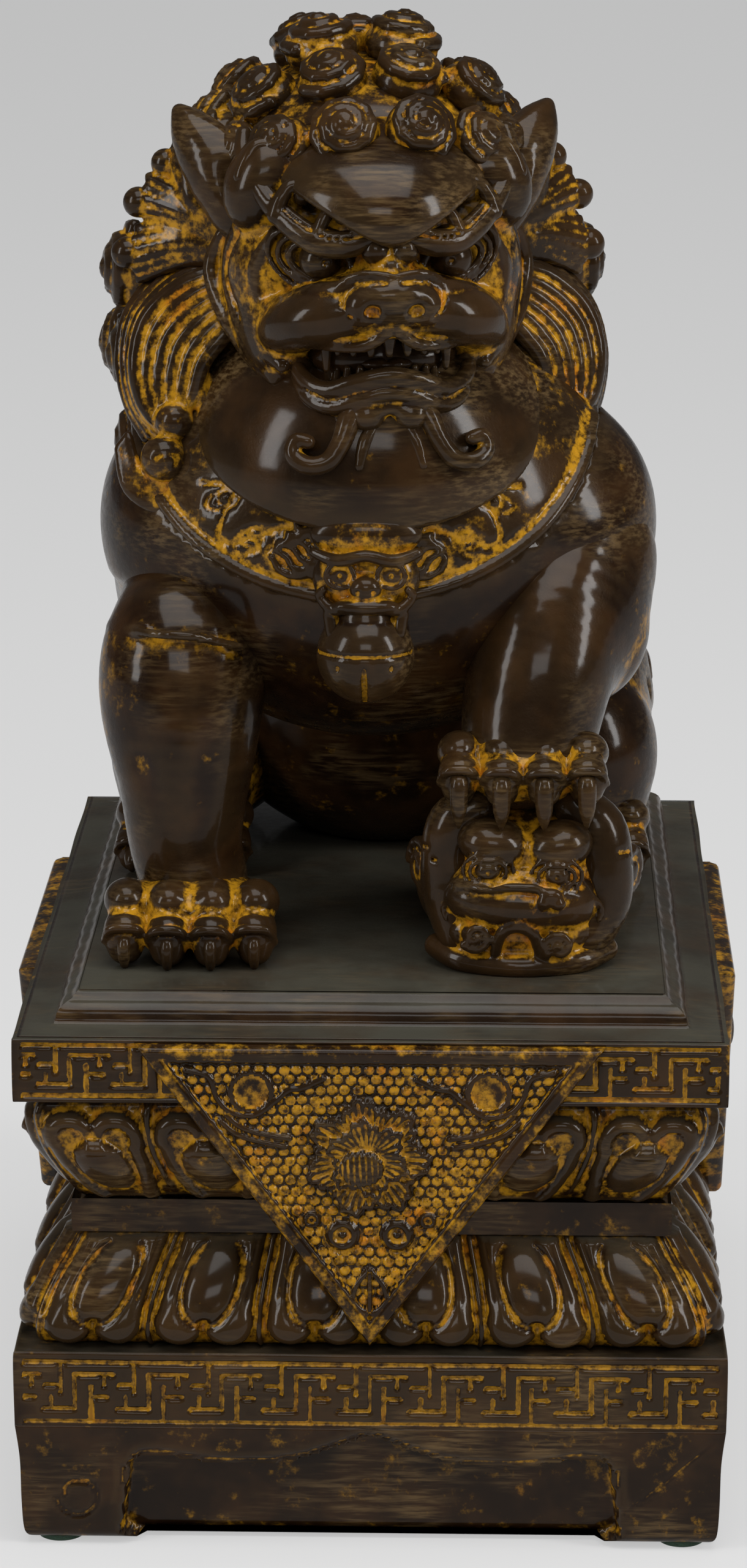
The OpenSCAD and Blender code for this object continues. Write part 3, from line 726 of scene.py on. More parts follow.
def make_forepaws():
    """The paw on the platform and the paw on the cub, with their claws."""
    cell = grain() * 0.9
    clay = Clay((-76, -92, -2), (-18, -34, 34), cell)
    tips = knuckled_paw(clay, (-46.8, -63, 0), 44, 46, 21, 6.3)
    clay.keep(lambda x, y, z: -z)
    fire(clay, "right_forepaw", "lacquer", finish("claws"), ["right_forepaw"], reach=1.8)
    paw_claws("right_fore_claws", tips, 5.2)

    clay = Clay((8, -92, 32), (70, -34, 76), cell)
    tips = knuckled_paw(clay, (37.6, -64, 38), 43, 42, 22, 5.9, 4.4)
    fire(clay, "left_forepaw", "lacquer", finish("claws"), ["left_forepaw"], reach=1.8)
    paw_claws("left_fore_claws", tips, 10.5)


def make_hindquarters():
    """Haunches, and hind paws that rest beside the body."""
    for side, word in SIDES:
        clay = Clay(*mirrored(side, (22, 0, -2), (84, 108, 82)), grain(False))
        clay.lump((side * 48, 56, 38), (26.5, 37, 35), (0, 0, side * -8), soft=0)
        clay.lump((side * 54, 32, 28), (19, 22, 24), soft=10)
        clay.rope([[side * 50, 78, 16, 15], [side * 56, 48, 12, 12.5], [side * 55, 26, 13, 12]], 8)
        clay.rope([[side * 66, 78, 26, 1.2], [side * 73, 56, 18, 2.2], [side * 72, 34, 20, 1.6]], 5, True)
        clay.rope(coil((side * 72, 60, 44), (side, 0, 0), 13, 1.6, 2, 1.0, side), 1.6, True, 3)
        for k in range(3):
            clay.rope([[side * (62 - 3 * k), 80 + 2 * k, 56 - 15 * k, 4.2],
                       [side * (57 - 3 * k), 88 + 1.5 * k, 50 - 15 * k, 3.8],
                       [side * (52 - 2 * k), 91 + 1.5 * k, 55 - 15 * k, 2.4]], 2.0)
        clay.keep(lambda x, y, z: -z)
        fire(clay, word + "_haunch", "lacquer", finish("smooth"), [word + "_haunch"], reach=2.6, least=0.5)

    tips = []
    for side, word in SIDES:
        clay = Clay(*mirrored(side, (30, -8, -2), (80, 46, 28)), grain())
        found = knuckled_paw(clay, (side * 54, 21, 0), 36, 42, 20, 5.6)
        clay.keep(lambda x, y, z: -z)
        fire(clay, word + "_hind_paw", "lacquer", finish("claws"), [word + "_hind_paw"], reach=1.8)
        tips += found
    clay = Clay((-78, -10, -2), (78, 12, 18), grain() * 0.9)
    for x, y, z in tips:
        clay.rope([[x, y + 2, z + 1.2, 2.2], [x, y - 0.6, z - 1.4, 2.0], [x, y, z - 4, 0.6]], 0.4)
    fire(clay, "hind_claws", "teeth", finish("claws"), ["hind_claws"], reach=1.2)


def make_tail():
    """A flame-shaped tail of waved strands that stands against the back."""
    clay = Clay((-34, 60, -2), (34, 118, 132), grain(False) * 1.15)
    clay.rope([[0, 94, 10, 9], [0, 99, 30, 10], [0, 100, 52, 11], [0, 94, 74, 11], [0, 84, 92, 8],
               [0, 77, 104, 5]], 0)
    for side in (-1, 1):
        clay.strands([[side * 4, 105, 8], [side * 3, 113, 32], [side * 3, 114, 56], [side * 1, 106, 80],
                      [side * 0.5, 96, 97], [side * 1, 87, 108]],
                     [[side * 12, 96, 12], [side * 16, 102, 34], [side * 21, 98, 56], [side * 18, 88, 78],
                      [side * 12, 83, 92], [side * 5, 80, 106]], 5, 2.6, 0.8, 0.6)
        for x, y, z in ((20, 90, 34), (24, 84, 60), (20, 76, 86)):
            clay.rope(coil((side * x, y + 4, z), (side * 0.6, 1, 0.1), 7, 1.8, 3, 1.9, side), 0.6, False, 3)
            clay.lump((side * (x - 4), y - 1, z), (9, 8, 10), soft=4)
    clay.keep(lambda x, y, z: -z)
    return fire(clay, "tail", "carved_hair", finish("hair"), ["tail"], reach=2.4)


# ---------- the cub ----------


def make_cub():
    """The cub, curled under the paw, with its face forward."""
    clay = Clay((8, -94, -2), (70, -42, 48), grain())
    clay.lump((38, -64, 18), (24, 20, 22), soft=0)
    clay.lump((38, -68, 9), (21.5, 17, 10), soft=3)
    clay.lump((30.5, -77, 32.5), (9.5, 8, 6.5), (0, 12, 0), soft=1.6)
    clay.lump((46.5, -77, 32), (9, 8, 6.5), (0, -14, 0), soft=1.6)
    clay.lump((37, -77, 18), (19.5, 12.3, 9.2), (0, 3, 0), soft=1.4)
    clay.lump((26, -78, 20), (7, 7, 7), soft=2)
    clay.lump((48, -78, 18), (8, 7, 8), soft=2)
    clay.rope([[21, -82, 23.0, 1.1], [28, -87, 23.6, 1.2], [37, -88.5, 24.2, 1.2], [45, -87, 23, 1.2],
               [52, -83, 20.5, 1.0]], 1.0)
    for x, z in ((29, 27.2), (46.3, 26.0)):
        clay.lump((x, -86.4, z), (5.2, 3.2, 3.4), (0, 10, 0), soft=1.2, dig=True)
        clay.lump((x, -83.6, z), (3.4, 2.8, 2.7), soft=0.3)
        for wide, high, y in ((4.7, 3.1, -85.4), (6.4, 4.5, -84.4)):
            clay.rope([[x + wide * math.cos(a), y + 0.9 * abs(math.cos(a)), z + high * math.sin(a), 0.65]
                       for a in np.linspace(0, 2 * math.pi, 13)], 0.4)
        clay.lump((x, -86.4, z), 1.0, soft=0.2, dig=True)
    # nose, scrolled lips and the rim below them
    for x, z in ((43.2, 20.4), (46.6, 20.0)):
        clay.lump((x, -88.6, z), (2.0, 1.8, 1.7), soft=0.5)
    clay.lump((44.8, -88.4, 22.2), (3.0, 2.0, 1.8), soft=0.7)
    clay.lump((36, -87, 8.6), (19, 3.6, 3.8), (0, 4, 0), soft=1.0, dig=True)
    clay.lump((37, -80, 10), (18, 5, 7), soft=1.0)
    for x, z, side in ((26, 10.4, 1), (47.0, 8.0, -1)):
        clay.lump((x, -83.5, z), (3.6, 2.6, 3.6), soft=0.6)
        clay.rope(coil((x, -85.8, z), (0, -1, 0), 3.7, 1.6, 0.8, 1.2, side, 0.6), 0.3, False, 3)
    clay.rope([[31, -85.0, 6.5, 1.4], [32.5, -86.6, 11.6, 1.6], [36.3, -87.2, 13.8, 1.8],
               [40.5, -86.6, 11.4, 1.6], [42, -85.0, 6.0, 1.4]], 0.6)
    clay.rope([[16, -74, 4.5, 3.2], [23, -80.5, 2.6, 3.2], [37, -84, 2.0, 3.4], [51, -81, 2.4, 3.2],
               [59, -74, 4.0, 3.2]], 1.5)
    for side, x in ((-1, 19.5), (1, 56)):
        for k in range(3):
            clay.rope([[x, -80 + k, 19 - 4 * k, 0.8], [x + side * 1.8, -79 + k, 16 - 4 * k, 0.9],
                       [x + side * 1.0, -80 + k, 13 - 4 * k, 0.6]], 0.5)
    clay.keep(lambda x, y, z: -z)
    fire(clay, "cub_head", "lacquer", finish("claws"), ["cub_head"], reach=1.5)

    clay = Clay((2, -80, -2), (76, -12, 46), grain(False))
    clay.lump((23, -50, 17), (13, 17, 17), soft=0)
    clay.lump((54, -50, 18), (13, 17, 18), soft=0)
    clay.lump((40, -38, 17), (24, 20, 16.5), soft=8)
    for side, x in ((-1, 12), (1, 65)):
        clay.rope(coil((x, -54, 20), (side, -0.5, 0), 7, 1.8, 1.5, 1.7, side), 0.6, False, 3)
    clay.strands([[24, -26, 24], [32, -22, 18], [36, -20, 8]], [[56, -26, 24], [48, -22, 18], [44, -20, 8]],
                 6, 2.0, 0.8)
    clay.keep(lambda x, y, z: -z)
    fire(clay, "cub_body", "lacquer", finish("claws"), ["cub_body"], reach=1.8)

    clay = Clay((0, -92, -2), (80, -40, 52), grain())
    right = [[51, -68, 40, 6.0], [56.5, -69, 34, 7.6], [57.8, -70, 25, 8.0], [57.4, -71, 16, 8.0],
             [54, -74, 8, 6.8]]
    left = [[25, -71, 40, 5.6], [20.5, -71, 36, 7.0], [19.0, -71, 28, 7.2], [19.4, -72, 18, 7.2],
            [22, -75, 8.5, 6.2]]
    clay.rope(right, 1)
    clay.rope(left, 1)
    for x, z, side in ((57.5, 14.6, 1), (17.5, 18.0, -1)):
        clay.rope(coil((x, -77.6, z), (side * 0.4, -1, 0), 3.0, 1.5, 0.6, 1.1, side), 0.4, False, 3)
    for k in range(3):
        clay.rope([[62 - 2 * k, -76, 30 - 3 * k, 0.5], [66 - k, -71, 29 - 3 * k, 0.7]], 0.4, True)
        clay.rope([[13 + 1.2 * k, -77, 34 - 3 * k, 0.5], [10.5 + k, -71, 33 - 3 * k, 0.7]], 0.4, True)
    clay.keep(lambda x, y, z: -z)
    fire(clay, "cub_paws", "lacquer", finish("claws"), ["cub_paws"], reach=1.5)


# ---------- the head, in its own axes ----------


def make_face():
    """Skull, cheeks, nose and upper lip in one skin."""
    clay = Clay((-46, -74, 132), (46, 34, 222), grain() * 1.12)
    clay.lump((0, 0, 184), (37, 36, 34), soft=0)
    clay.lump((0, -24, 196), (33, 20, 16), (8, 0, 0), soft=6)
    for side in (-1, 1):
        clay.lump((side * 22, -18, 172), (16, 21, 25), soft=5)
        clay.lump((side * 22, -26, 158), (12, 16, 14), soft=5)
        clay.lump((side * 30, -30, 197), (8, 9, 12), (0, side * -25, 0), soft=4)
    clay.lump((0, -34, 176), (17, 16, 15), soft=5)
    for side in (-1, 1):
        clay.lump((side * 16.5, -50, 179), (10.5, 8, 6.5), (0, side * 12, side * -14), soft=3, dig=True)
    clay.lump((0, -44, 180), (6.5, 9, 8), soft=3)
    for x, y, z, r in ((3.6, -52, 182.4, 3.6), (-3.6, -52, 182.4, 3.6), (0, -53, 178, 3.2)):
        clay.lump((x, y, z), r, soft=1)
    # the upper lip sweeps out and down from the nose
    clay.lump((0, -50, 169), (15, 11, 9), soft=3)
    for side in (-1, 1):
        clay.lump((side * 14, -47, 166.5), (16, 12, 8.5), (0, side * 14, side * 16), soft=3)
        clay.lump((side * 22, -40, 162.5), (9, 10, 6), (0, side * 20, side * 25), soft=3)
        clay.rope([[side * 6, -58, 174.6, 1.0], [side * 14, -54.5, 174.0, 1.2], [side * 22, -46, 170.5, 1.2],
                   [side * 30, -35, 165, 1.0]], 2)
        clay.rope([[side * 28, -34, 164, 1.4], [side * 22, -45, 161.0, 1.6], [side * 14, -51.5, 158.8, 1.7],
                   [side * 7, -55.5, 159.2, 1.6], [side * 1.5, -58, 162.6, 1.3]], 0.8)
        clay.rope([[side * 22, -48, 163.3, 0.5], [side * 14, -54.5, 161.2, 0.7], [side * 7, -58, 161.8, 0.7],
                   [side * 3, -59.5, 164, 0.5]], 0.5, True)
    clay.lump((0, -57.5, 171.5), (10, 6, 5.6), soft=1.6)
    for side in (-1, 1):
        clay.lump((side * 7.8, -58, 169.6), 4.2, soft=1.4)
        clay.lump((side * 5.6, -62.4, 168.3), (2.5, 2.8, 2.2), soft=0.8, dig=True)
        clay.rope([[side * 1, -60, 177.2, 1.0], [side * 7, -58.5, 177.5, 1.2], [side * 12, -56, 175.4, 1.1],
                   [side * 13.6, -55.6, 171.5, 1.0], [side * 12.2, -57, 167.8, 0.9],
                   [side * 8, -59.5, 165.8, 0.8]], 0.6)
        clay.rope([[side * 2, -61, 175.4, 0.6], [side * 8, -60, 175.4, 0.7], [side * 11.6, -58.6, 173.0, 0.7],
                   [side * 12.2, -58.4, 170, 0.6], [side * 10, -60, 167, 0.5]], 0.5, True)
    clay.rope([[0, -63, 167.5, 0.7], [0, -61.5, 163, 0.8], [0, -58, 159, 0.7]], 0.5, True)
    # lids round the eyes, creases below them and down the cheeks
    for side in (-1, 1):
        for wide, high, radius, out in ((7.6, 4.7, 1.0, 1.4), (10.0, 6.6, 0.9, 0.6), (12.2, 8.4, 0.8, -0.4)):
            ring = []
            for a in np.linspace(0, 2 * math.pi, 17)[:-1]:
                x = 16.5 + wide * math.cos(a)
                z = 179 + high * math.sin(a) + 0.18 * (x - 16.5)
                curve = 0.022 * (x - 10) ** 2 * (1 if x > 10 else 0.5)
                ring.append([side * x, -46.4 - out + curve, z, radius])
            clay.rope(ring, 0.6, closed=True)
        clay.rope([[side * 27, -38, 186, 1.2], [side * 31, -34, 176, 1.5], [side * 30, -35, 168, 1.2]], 1.5)
        clay.rope([[side * 34, -26, 184, 0.8], [side * 38, -22, 174, 1.2], [side * 34, -28, 163, 1.2],
                   [side * 27, -34, 157, 1.0]], 1.5, True)
        clay.rope([[side * 38, -14, 182, 1.2], [side * 40.5, -12, 172, 2.0], [side * 37, -20, 160, 2.0],
                   [side * 30, -28, 151, 1.8], [side * 27, -36, 148, 1.6]], 1.6)
        clay.rope([[side * 27, -32, 166.5, 1.2], [side * 30, -34, 162, 1.6], [side * 29, -36, 156, 1.8],
                   [side * 25.5, -41, 152, 1.6]], 0.8)
        clay.lump((side * 28, -36, 166.5), (2.6, 2.6, 2.6), soft=0.8)
    # the open mouth
    clay.lump((0, -44, 154.6), (20, 17, 4.4), soft=1, dig=True)
    clay.lump((0, -40, 148), (16, 14, 7), soft=2, dig=True)
    return fire(clay, "face", "lacquer", finish("face"), ["skull", "muzzle"], True, 1.6)


def make_jaw():
    """The lower jaw with its waved lip, the tongue and the teeth."""
    clay = Clay((-32, -66, 126), (32, -4, 164), grain())
    clay.lump((0, -30, 145), (22, 20, 8), soft=0)
    clay.lump((0, -40, 141), (15, 11, 7), soft=4)
    clay.lump((0, -36, 153.5), (15.5, 14, 5.2), soft=1, dig=True)
    lip = [[-23, -34, 156.5, 1.6], [-20.5, -43, 149.5, 2.2], [-15, -48.5, 147.2, 2.4], [-8, -52, 149.6, 2.4],
           [0, -53, 151.2, 2.4], [8, -52, 149.6, 2.4], [15, -48.5, 147.2, 2.4], [20.5, -43, 149.5, 2.2],
           [23, -34, 156.5, 1.6]]
    clay.rope(lip, 0.8)
    clay.rope([[x * 0.98, y - 0.4, z - 4.2, r * 0.8] for x, y, z, r in lip], 0.8)
    clay.rope([[x * 0.9, y + 1.0, z - 8.0, r * 0.8] for x, y, z, r in lip[1:-1]], 1.0)
    clay.rope([[x * 0.98, y - 2.6, z - 2.3, 0.6] for x, y, z, r in lip[1:-1]], 0.4, True)
    for x in (-5.5, 5.5):
        clay.lump((x, -51, 141), (4.4, 4, 4), soft=1.5)
    fire(clay, "lower_jaw", "lacquer", finish("face"), ["lower_jaw"], True, 1.6)

    clay = Clay((-16, -58, 146), (16, -22, 162), grain())
    clay.lump((0, -38, 152.6), (9.5, 12.8, 3.0), (-4, 0, 0), soft=0)
    clay.rope([[0, -50, 155, 0.8], [0, -38, 155, 0.9], [0, -28, 153.5, 0.7]], 0.8, True)
    fire(clay, "tongue", "mouth", finish("mouth"), ["tongue"], True, 1.4)
    clay = Clay((-24, -56, 138), (24, -14, 166), grain())
    clay.lump((0, -35.4, 154), (19.5, 12.6, 8), soft=0)
    clay.rope([[-15, -42, 156, 1.2], [0, -46, 157.5, 1.4], [15, -42, 156, 1.2]], 0.8)
    fire(clay, "mouth_lining", "mouth", finish("mouth"), [], True, 1.6)

    clay = Clay((-24, -62, 144), (24, -28, 166), grain() * 0.7)
    for i in range(11):
        a = (i - 5) / 5
        x, y = 15.4 * math.sin(a * 1.15), -48.2 + 10.5 * (1 - math.cos(a * 1.15))
        tall = 4.6 if abs(i - 5) == 5 else 2.2
        clay.rope([[x, y, 148.6 - 1.2 * a * a, 1.6], [x, y - 0.4, 150.4 + tall - 1.2 * a * a, 0.9]], 0.15)
    fire(clay, "lower_teeth", "teeth", finish("teeth"), ["lower_teeth"], True, 1.0)
    clay = Clay((-24, -64, 148), (24, -28, 168), grain() * 0.7)
    for i in range(9):
        a = (i - 4) / 4
        x, y = 16.8 * math.sin(a * 1.1), -51.0 + 10.5 * (1 - math.cos(a * 1.1))
        tall = 6.0 if abs(i - 4) == 4 else 1.6
        clay.rope([[x, y, 160.5, 1.8], [x, y - 0.2, 158.0 - tall, 0.9]], 0.15)
    fire(clay, "upper_teeth", "teeth", finish("teeth"), ["upper_teeth"], True, 1.0)


def make_eyes():
    """Bulging eyes, each with a drilled pupil."""
    clay = Clay((-28, -58, 168), (28, -34, 190), grain() * 0.8)
    for side in (-1, 1):
        clay.lump((side * 16.5, -44.2, 179), 5.2, soft=0)
        clay.lump((side * 15.6, -49.6, 179), 1.1, soft=0.3, dig=True)
    return fire(clay, "eyes", "eyes", finish("face"), ["eyes"], True, 1.2)


def make_brows():
    """Flame-edged ridges that hold up the smooth shield of the forehead."""
    for side, word in SIDES:
        clay = Clay(*mirrored(side, (0, -62, 178), (44, -12, 212)), grain() * 0.85)
        ridge = [[3, -51, 187.2, 2.6], [9, -52, 184.4, 3.4], [16, -50, 184.0, 3.5], [22, -46, 187, 3.3],
                 [27, -41, 191.5, 2.9], [31, -36, 197, 2.6], [33.5, -29, 203, 2.4], [33, -24, 208, 2.0]]
        clay.rope([[side * x, y, z, r] for x, y, z, r in ridge], 0)
        clay.rope([[side * (x - 0.5), y - 2.4, z + 1.6, 0.55] for x, y, z, r in ridge[:-1]], 0.5, True)
        for x, y, z, size in ((14.5, -51.2, 189.2, 0.9), (24, -44.5, 193.6, 1.0), (31.2, -36, 202.5, 1.05)):
            y += 2.4
            hook = [[x + 3.6 * size, y - 1.2, z - 3.6 * size, 1.8], [x + 2.0 * size, y - 0.6, z + 0.2, 1.9],
                    [x - 0.2, y + 0.2, z + 3.2 * size, 1.9], [x - 2.8 * size, y + 0.2, z + 3.4 * size, 2.0],
                    [x - 3.4 * size, y - 0.2, z + 1.2 * size, 2.2]]
            clay.rope([[side * a, b, c, r * size] for a, b, c, r in hook], 0.5)
        clay.rope([[side * a, b, c, r] for a, b, c, r in
                   [[6, -53.4, 187.2, 0.9], [10, -53.5, 189.4, 1.3], [8.5, -52.5, 192.6, 1.2]]], 0.5)
        fire(clay, word + "_brow", "lacquer", finish("face"), [word + "_brow"], True, 1.5)

    clay = Clay((-44, -62, 170), (44, -2, 222), grain())
    clay.lump((0, -31.5, 194.5), (28.5, 25, 16), (18, 0, 0), soft=0)
    clay.lump((0, -43.5, 190), (14, 12.5, 9), (12, 0, 0), soft=9)
    clay.keep(lambda x, y, z: 0.85 * (183.4 + 0.62 * (np.sqrt(x * x + 9) - 3) - z))
    clay.soften()
    fire(clay, "forehead_boss", "lacquer", finish("brow"), ["forehead_boss"], True, 3, 0.5)


def make_ears():
    """Pointed ears, laid back, with a scooped front."""
    for side, word in SIDES:
        clay = Clay(*mirrored(side, (26, -22, 176), (56, 16, 220)), grain())
        clay.rope([[side * 32.5, -16, 183, 5.0], [side * 35, -14, 190, 7.6], [side * 38.5, -10, 198, 8.6],
                   [side * 43.0, -6, 205, 6.4], [side * 47.0, -3, 211, 2.2]], 0)
        clay.lump((side * 34.5, -24, 197), (5.6, 5.5, 11), (0, side * 28, 0), soft=2.5, dig=True)
        clay.rope([[side * 31, -21, 186, 1.2], [side * 31, -18.5, 196, 1.3], [side * 37, -13, 206, 1.2],
                   [side * 46.5, -5, 211.5, 1.0]], 1.2)
        fire(clay, word + "_ear", "lacquer", finish("face"), [word + "_ear"], True, 2.2)


def snail(clay, centre, out, radius, side=1, start=0.0, turns=3.0, tall=0.62):
    """A stepped curl: a low dome, and a coil that climbs over it to its middle."""
    out = np.array(out, float) / np.linalg.norm(out)
    centre = np.array(centre, float)
    tilt = Vector(out).to_track_quat("Z", "Y").to_euler()
    clay.lump(centre, (radius * 0.94, radius * 0.94, tall * radius), [math.degrees(a) for a in tilt], 1.0)
    across = np.array(Vector(out).orthogonal().normalized())
    along = np.cross(out, across)
    line = []
    for share in np.linspace(0, 1, int(turns * 10)):
        angle = start + side * share * turns * 2 * math.pi
        far = 0.9 * (1 - share) ** 0.9
        up = tall * math.sqrt(1 - (far / 0.98) ** 2) + 0.20 * share
        place = centre + radius * (across * far * math.cos(angle) + along * far * math.sin(angle) + out * up)
        line.append([*place, radius * (0.185 - 0.04 * share)])
    clay.rope(line, 0.25, turns=1)


CURLS = ((-9, -37.5, 210, 9.0), (9.4, -38.5, 210.5, 9.0), (-25, -30.5, 206, 8.6), (25.6, -32, 206.5, 8.6),
         (-34, -25, 196, 5.8), (34.5, -26, 196.5, 5.8),
         (27.0, -11.5, 217.5, 9.0), (-9.6, -13.5, 220.5, 9.6), (-26.4, -5.4, 215.5, 9.4),
         (9.8, -15.2, 221.5, 9.6),
         (34.5, -15, 205, 7.2), (-34.5, -12, 203, 7.2), (-10.5, 2, 227.5, 10.2), (10.5, 2, 228, 10.2))
BACK_CURLS = ((-43, 8, 196, 8.0), (43, 6, 196, 8.0), (-37, 14, 207, 8.6), (37, 12, 207, 8.6),
              (0, 14, 228, 8.0), (-12, 19, 226, 10.0), (12, 19, 226, 10.0), (-29, 22, 214, 9.4),
              (29, 15, 214, 9.4), (0, 37, 217, 9.4), (-20, 38, 209, 9.0), (20, 38, 209, 9.0),
              (38, 5, 203, 8.6), (-38, 7, 203, 8.6), (38, 24, 199, 8.6), (-38, 24, 199, 8.6))


def make_crown():
    """The hair's cap, and its snail curls in rows."""
    clay = Clay((-48, -44, 176), (48, 56, 232), grain(False))
    clay.lump((0, 5, 190), (39, 43, 34), soft=0)
    clay.keep(lambda x, y, z: np.minimum(196 - z, 14 - y))
    clay.keep(lambda x, y, z: -28 - y)
    fire(clay, "crown_cap", "carved_hair", finish("hair"), ["crown_cap"], True, 3)

    clay = Clay((-56, -52, 186), (56, 64, 246), grain() * 1.18)
    for i, (x, y, z, radius) in enumerate(CURLS + BACK_CURLS):
        out = np.array((x, (y - 5) * 0.9, (z - 190) * 1.25))
        out /= np.linalg.norm(out)
        place = np.array((x, y, z)) - out * 2.0
        snail(clay, place, out, radius, 1 if i % 2 else -1, i * 1.3)
    fire(clay, "crown_curls", "carved_hair", finish("hair"), ["crown_curls"], True, 0.9)


def make_mane_sides():
    """Fans above and long locks below, on both sides of the face."""
    for side, word in SIDES:

        def flip(points):
            return [[side * p[0], *p[1:]] for p in points]

        clay = Clay(*mirrored(side, (24, -24, 162), (70, 30, 206)), grain())
        lobes = ((50, 7, 197, 4.4), (57, 8, 187, 4.6), (60, 8, 174, 4.8))
        for i, (x, y, z, r) in enumerate(lobes):
            clay.rope(flip([[34, 2, 181 - 2.5 * i, 7], [46, 6, (z + 179) / 2 + 1, 6],
                            [x - 4, y + 2, z - 0.5, r - 0.8]]), 2)
            clay.lump((side * x, y - 1.5, z), (r - 0.6, r - 0.6, r - 0.6), soft=0.6)
            clay.rope(flip([[x + 1.5, y - 7.2, z + 1, 0.9], [x - 1.5, y - 7.2, z + 2.2, 0.9],
                            [x - 2.6, y - 6.8, z - 0.6, 0.8]]), 0.5, True, 3)
            for k in range(6):
                t = (k - 2.5) / 2.5
                root = [33.5, -8.5, 180 - 3.4 * i + 1.5 * t, 1.5]
                middle = [44.5, -4.4 + 1.0 * abs(t), (z * 0.5 + 90) + 4.4 * t + 0.6, 1.7]
                end = [x - 1.5 - 1.5 * abs(t), y - 4.6 + 2.0 * abs(t), z + 6.4 * t, 1.5]
                clay.rope(flip([root, middle, end]), 0.5)
        fire(clay, word + "_mane_fan", "carved_hair", finish("hair" if side > 0 else "bright_hair"),
             [word + "_mane_fan"], True, 0.9)

        clay = Clay(*mirrored(side, (20, -34, 110), (74, 26, 184)), grain())
        clay.rope(flip([[36, 2, 162, 11], [44, 0, 158, 11.5], [49, -3, 149, 10.5], [50, -7, 139, 8],
                        [49, -12, 130, 6.5]]), 0)
        outer = [[33, -10, 172], [46, -9, 168.5], [56, -9, 160], [59.5, -11, 149], [58, -13, 139],
                 [53.5, -16, 133]]
        inner = [[33, -15, 160], [38, -17, 156], [43, -18, 150], [45, -18, 144], [46.5, -18, 139.5],
                 [49.5, -18, 137]]
        clay.strands(flip(outer), flip(inner), 6, 2.6, 0.3, 0.75)
        back = [[35, 6, 173], [48, 8, 170], [59, 5, 160], [62.5, 0, 148], [61, -5, 137], [57, -10, 129]]
        clay.strands(flip(outer), flip(back), 4, 2.1, 0.3, 0.75)
        for x, y, z, r in ((50.5, -18, 134.5, 5.0), (53.5, -20, 125.5, 6.0)):
            clay.lump((side * x, y, z), r, soft=0.6)
            clay.rope(flip([[x + 2.5, y - 5.6, z + 1, 0.8], [x, y - 6.4, z + 2.6, 0.8],
                            [x - 3, y - 5.4, z + 1, 0.8], [x - 2.4, y - 6, z - 1.6, 0.7]]), 0.4, True, 3)
        for k in range(4):
            clay.rope(flip([[45 - 1.5 * k, -17 + 0.4 * k, 147 - k, 1.9], [42.5 - k, -19, 134 - k, 2.1],
                            [45 - 0.6 * k, -20, 123 - 1.7 * k, 2.2], [53, -20, 118.6 - 2.0 * k, 2.1],
                            [60 + 0.7 * k, -17, 122 - 1.6 * k, 1.8], [62 + 0.8 * k, -13, 130 - k, 1.3]]), 0.4)
        fire(clay, word + "_mane_lock", "carved_hair", finish("hair" if side > 0 else "bright_hair"),
             [word + "_mane_lock"], True, 0.9)

        clay = Clay(*mirrored(side, (-2, -64, 118), (34, -38, 156)), grain() * 0.85)
        clay.rope(flip([[5, -46, 146, 4.2], [9.5, -50.5, 141, 3.2], [12.4, -53.5, 135, 2.5],
                        [16, -55, 130.4, 2.4], [21.0, -54.5, 129.6, 2.4], [24.2, -52.5, 132, 2.3],
                        [23.4, -52, 135.4, 2.0], [20.6, -53, 135.2, 1.9]]), 0)
        clay.rope(flip([[7, -54, 144, 0.6], [11, -57, 138, 0.7], [14, -60, 131.5, 0.7],
                        [20, -60, 129.4, 0.6]]), 0.4, True)
        clay.rope(flip([[3, -50, 140, 2.2], [6.5, -53, 134.5, 1.9], [8, -55, 129, 1.2]]), 0.5)
        fire(clay, word + "_beard_curl", "lacquer", finish("face"), [word + "_beard_curl"], True, 1.5)


def make_back_mane():
    """The mane's mass behind the head, covered with rows of snail curls."""
    clay = Clay((-84, -16, 82), (84, 92, 226), grain(False) * 1.1)
    lumps = ((0, 16, 194, 32), (0, 30, 160, 31), (0, 38, 130, 27), (-32, 26, 142, 21), (32, 26, 142, 21),
             (-45, 14, 110, 13), (45, 14, 110, 13), (-22, 48, 104, 13), (22, 48, 104, 13), (-38, 14, 168, 15),
             (38, 14, 168, 15))
    for i, (x, y, z, r) in enumerate(lumps):
        clay.lump((x, y, z), r, soft=10 if i else 0)
    centre = np.array((0, 8, 150.0))
    rows = ((197, 6, 10.6), (181, 7, 11.6), (164, 8, 12.0), (147, 9, 12.0), (130, 9, 11.6), (114, 9, 11.0))
    for n, (z, count, radius) in enumerate(rows):
        for i in range(count):
            share = (i + 0.5 * (n % 2)) / (count - 1 + 0.5 * (n % 2)) if n % 2 else i / (count - 1)
            bearing = math.radians(5 + 170 * min(share, 1))
            out = np.array((math.cos(bearing) * 1.25, math.sin(bearing), (z - 150) / 140))
            out /= np.linalg.norm(out)
            place = surface(clay, centre + (0, 6, z - 150), out, 92)
            if place is not None:
                snail(clay, place, out, radius, 1 if (i + n) % 2 else -1, i + 0.7 * n)
    for side in (-1, 1):
        snail(clay, (side * 62 + 4.3, 28, 97), (side * 0.9, -0.6, 0.1), 8.6, side)
    clay.keep(lambda x, y, z: -13 - y + 0.18 * np.abs(z - 150))
    return fire(clay, "back_mane", "carved_hair", finish("hair"), ["back_mane"], True, 1.1)


def surface(clay, start, out, reach):
    """Where a line from inside the clay leaves it."""
    steps = np.arange(0, reach, clay.cell)
    line = np.array(start, float) + np.outer(steps, out)
    cells = (line - clay.low) / clay.cell
    inside = np.all((cells >= 0) & (cells < np.array(clay.field.shape) - 2), axis=1)
    values = sample(clay.field, cells)
    values[~inside] = 9
    crossed = np.nonzero(values > 0)[0]
    return line[crossed[0]] if len(crossed) and crossed[0] else None


